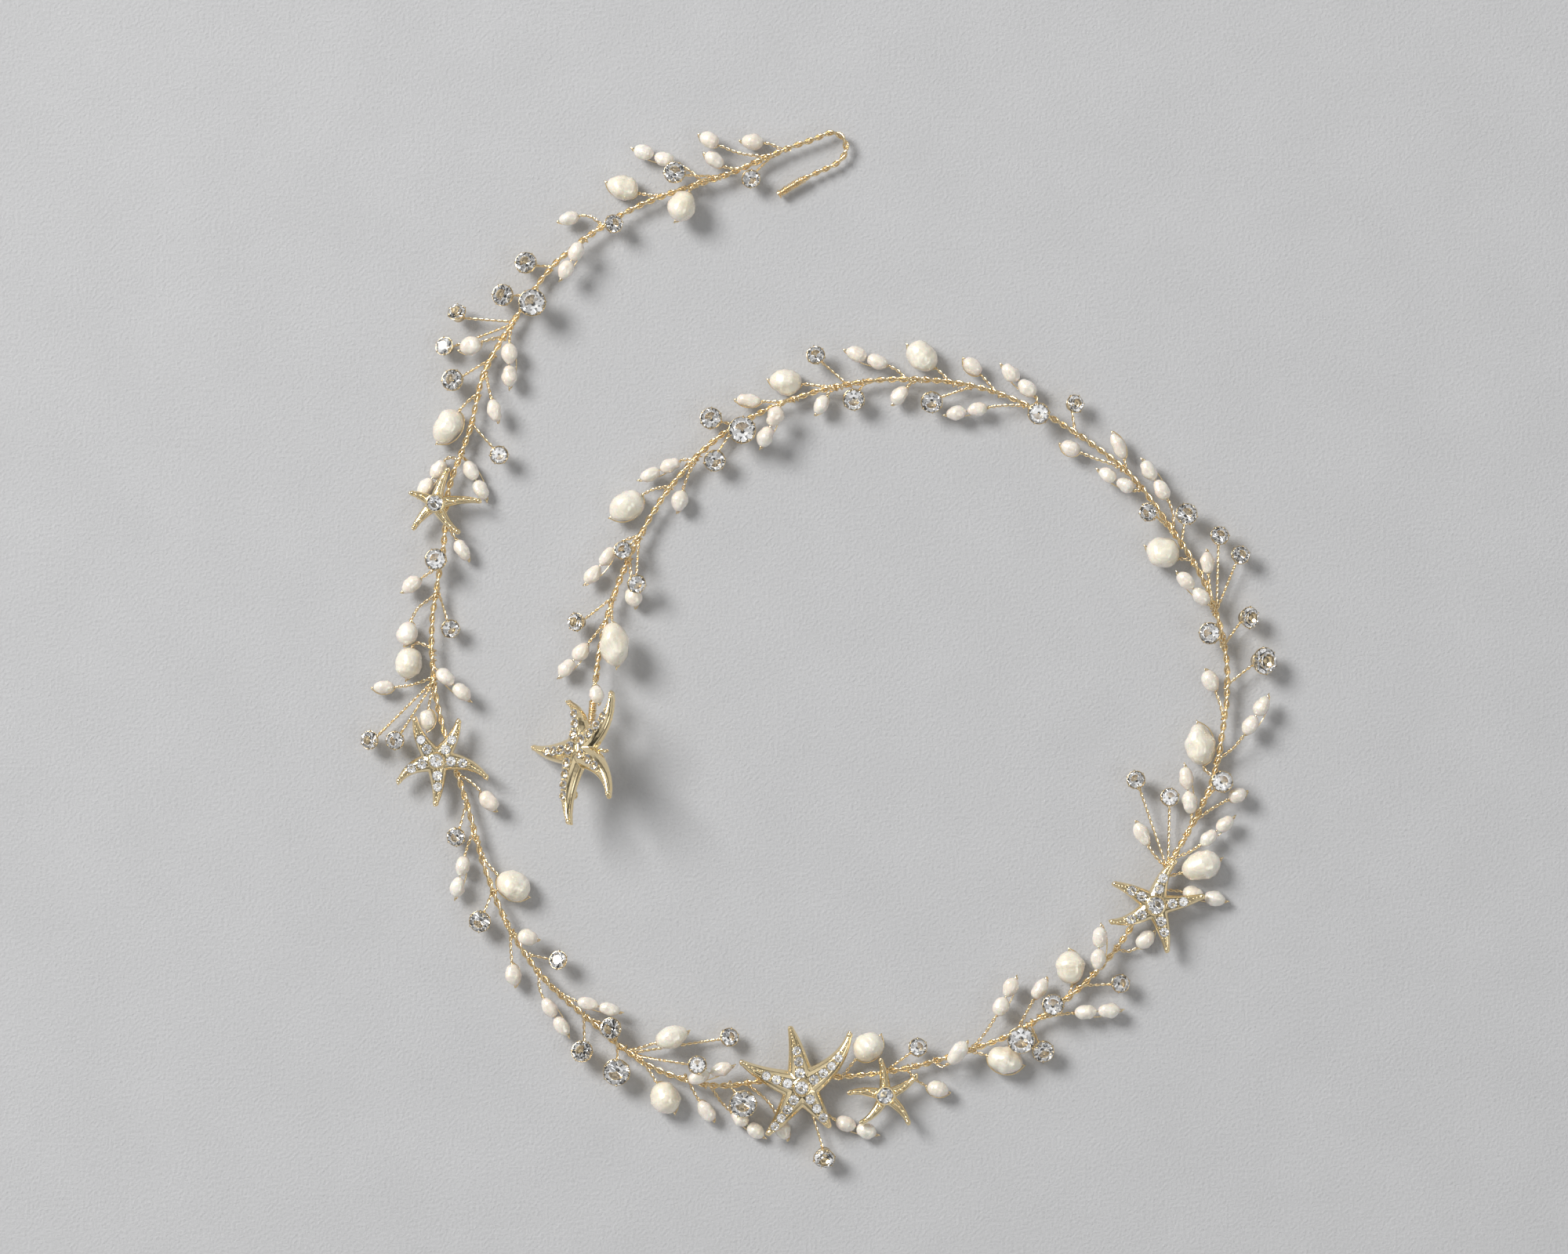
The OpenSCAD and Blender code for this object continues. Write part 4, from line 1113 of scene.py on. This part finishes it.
def drill_seats(body, places):
    """Cuts a round seat, narrower at its floor, for every stone."""
    bm = bmesh.new()
    for place, width, low in places:
        wide, high = width / 2 + SEAT_PLAY, low + PAVILION * width
        end = high + DRILL_L
        profile = [(0, low), (wide * SEAT_FLOOR, low), (wide, high), (wide, end), (0, end)]
        turned(bm, profile, steps=28, place=place)
    bmesh.ops.remove_doubles(bm, verts=bm.verts, dist=1e-7)
    bmesh.ops.recalc_face_normals(bm, faces=bm.faces)
    cutter = carrier_of(bm, "cutter")
    drill = body.modifiers.new("drill", "BOOLEAN")
    drill.operation, drill.object, drill.solver = "DIFFERENCE", cutter, "MANIFOLD"
    apply_modifiers(body)
    bpy.data.objects.remove(cutter)

# %% Beads beside the stones and along the arms
# How deep a bead's middle lies under the skin, as a share of its width
BEAD_SINK = 0.16
SETTING_BEAD, SETTING_SIDE = 0.5 * MM, 0.32
ROW_ROOT = {"small": 1.05 * MM, "medium": 0.62 * MM, "large": 0.62 * MM}
ROW_TIP = {"small": 0.7 * MM, "medium": 0.45 * MM, "large": 0.45 * MM}
ROW_GAP, BARE_GAP, BARE_START, ROW_END = 1.5 * MM, 0.9 * MM, 0.2, 0.97
LAST_SETTING, ROW_STEP = 0.95, 0.95
# By what shares the beads of a row differ in width, and how far they stray to a side
UNEVEN, STRAY = (0.85, 1.2), 0.3


def star_beads(row, arms):
    """Places and widths of the raised beads of a starfish."""
    size, heart = row[5], row[6]
    beads = []

    def add(arm, s, offset, width):
        x = offset / arm_half(size, s)
        place = arm_place(arm, size, s) + offset * heading(arm_turn(arm, s) + 90)
        beads.append((place + (arm_h(size, s) * dome(x) - BEAD_SINK * width) * UP, width))

    for arm in arms:
        start = BARE_START + share_of(arm, size, BARE_GAP)
        for k in range(arm[3]):
            reach = stone_reach(heart, k)
            s = share_of(arm, size, reach + arm_stone(k) * NEXT_STONE / 2)
            for way in (-1, 1):
                add(arm, min(s, LAST_SETTING), way * SETTING_SIDE * arm_stone(k), SETTING_BEAD)
            start = share_of(arm, size, reach) + share_of(arm, size, ROW_GAP)
        steps = round((ROW_END - start) * arm[2] * STAR_R[size] / (ROW_STEP * ROW_ROOT[size]))
        for k in range(steps):
            s = start + (ROW_END - start) * k / max(1, steps - 1)
            width = (ROW_ROOT[size] * (1 - s) + ROW_TIP[size] * s) * dice.uniform(*UNEVEN)
            add(arm, s, dice.uniform(-STRAY, STRAY) * arm_half(size, s), width)
    return beads

# %% A finished casting, with crisp edges at its seats
CREASE = math.radians(38)


def star_mesh(row, arms, name):
    """A starfish without its stones, where it lies."""
    body = fused_star(row, arms)
    drill_seats(body, seats(row, arms))
    cast = body.data
    bm = bmesh.new()
    bm.from_mesh(cast)
    bpy.data.objects.remove(body)
    bpy.data.meshes.remove(cast)
    for edge in bm.edges:
        if len(edge.link_faces) == 2 and edge.calc_face_angle(0) > CREASE:
            edge.smooth = False
    for place, width in star_beads(row, arms):
        bead = bmesh.ops.create_icosphere(bm, subdivisions=2, radius=width / 2)["verts"]
        bmesh.ops.translate(bm, verts=bead, vec=place)
    bmesh.ops.transform(bm, matrix=lean(row), verts=bm.verts)
    return mesh_from(bm, name)

# %% Where the stones of a starfish lie, each set a little unevenly
SET_TILT = 0.14


def star_stone_places(row, arms):
    """The place of each stone, tipped and turned by chance."""
    result = []
    for place, width, floor in seats(row, arms):
        seat = Matrix.Translation(place + (floor + STONE_FIT + PAVILION * width) * UP)
        tip = Matrix.Rotation(dice.uniform(-SET_TILT, SET_TILT), 4, "X")
        tip = tip @ Matrix.Rotation(dice.uniform(-SET_TILT, SET_TILT), 4, "Y")
        tip = tip @ Matrix.Rotation(dice.uniform(0, MOST_SPIN), 4, "Z")
        result.append(lean(row) @ seat @ tip @ Matrix.Scale(width, 4))
    return result

# %% Six starfish and their stones
for i, (row, arms) in enumerate(zip(STARS, ARMS)):
    star = star_mesh(row, arms, f"sea_star_{i + 1}")
    keep(star, [pale_gold], f"starfish_{i + 1}")
    places = star_stone_places(row, arms)
    keep_stones(places, f"sea_star_stones_{i + 1}", f"starfish_stones_{i + 1}")

# %% [markdown]
# ## The paper
# The vine lies on a sheet of pale grey paper with a faint tooth. Broad soft clouds and the
# fine tooth share its tone, and the tooth alone raises the surface.

# %% Paper
PAPER_HALF = 1.5
DARK_GREY, PALE_GREY = (0.48, 0.48, 0.485), (0.60, 0.60, 0.608)
bm = bmesh.new()
bmesh.ops.create_grid(bm, x_segments=1, y_segments=1, size=PAPER_HALF)
paper = bpy.data.objects.new("paper", mesh_from(bm, "paper"))
bpy.context.scene.collection.objects.link(paper)
paper_finish, start, link = new_material("paper", {"Roughness": 0.9})
tooth = blotches(start, 1500.0, detail=4.0)
tone = 0.4 * blotches(start, 60.0, detail=4.0) + 0.6 * tooth
link("Base Color", blend(start, tone, DARK_GREY, PALE_GREY))
link("Normal", bump(start, tooth, 0.2 * MM))
paper.data.materials.append(paper_finish)
print("the paper is", 2 * PAPER_HALF, "m wide")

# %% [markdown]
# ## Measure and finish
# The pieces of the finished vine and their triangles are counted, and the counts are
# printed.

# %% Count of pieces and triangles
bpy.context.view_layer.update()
triangles = sum(len(p.vertices) - 2 for item in pieces for p in item.data.polygons)
print(len(pieces), "pieces,", triangles, "triangles")
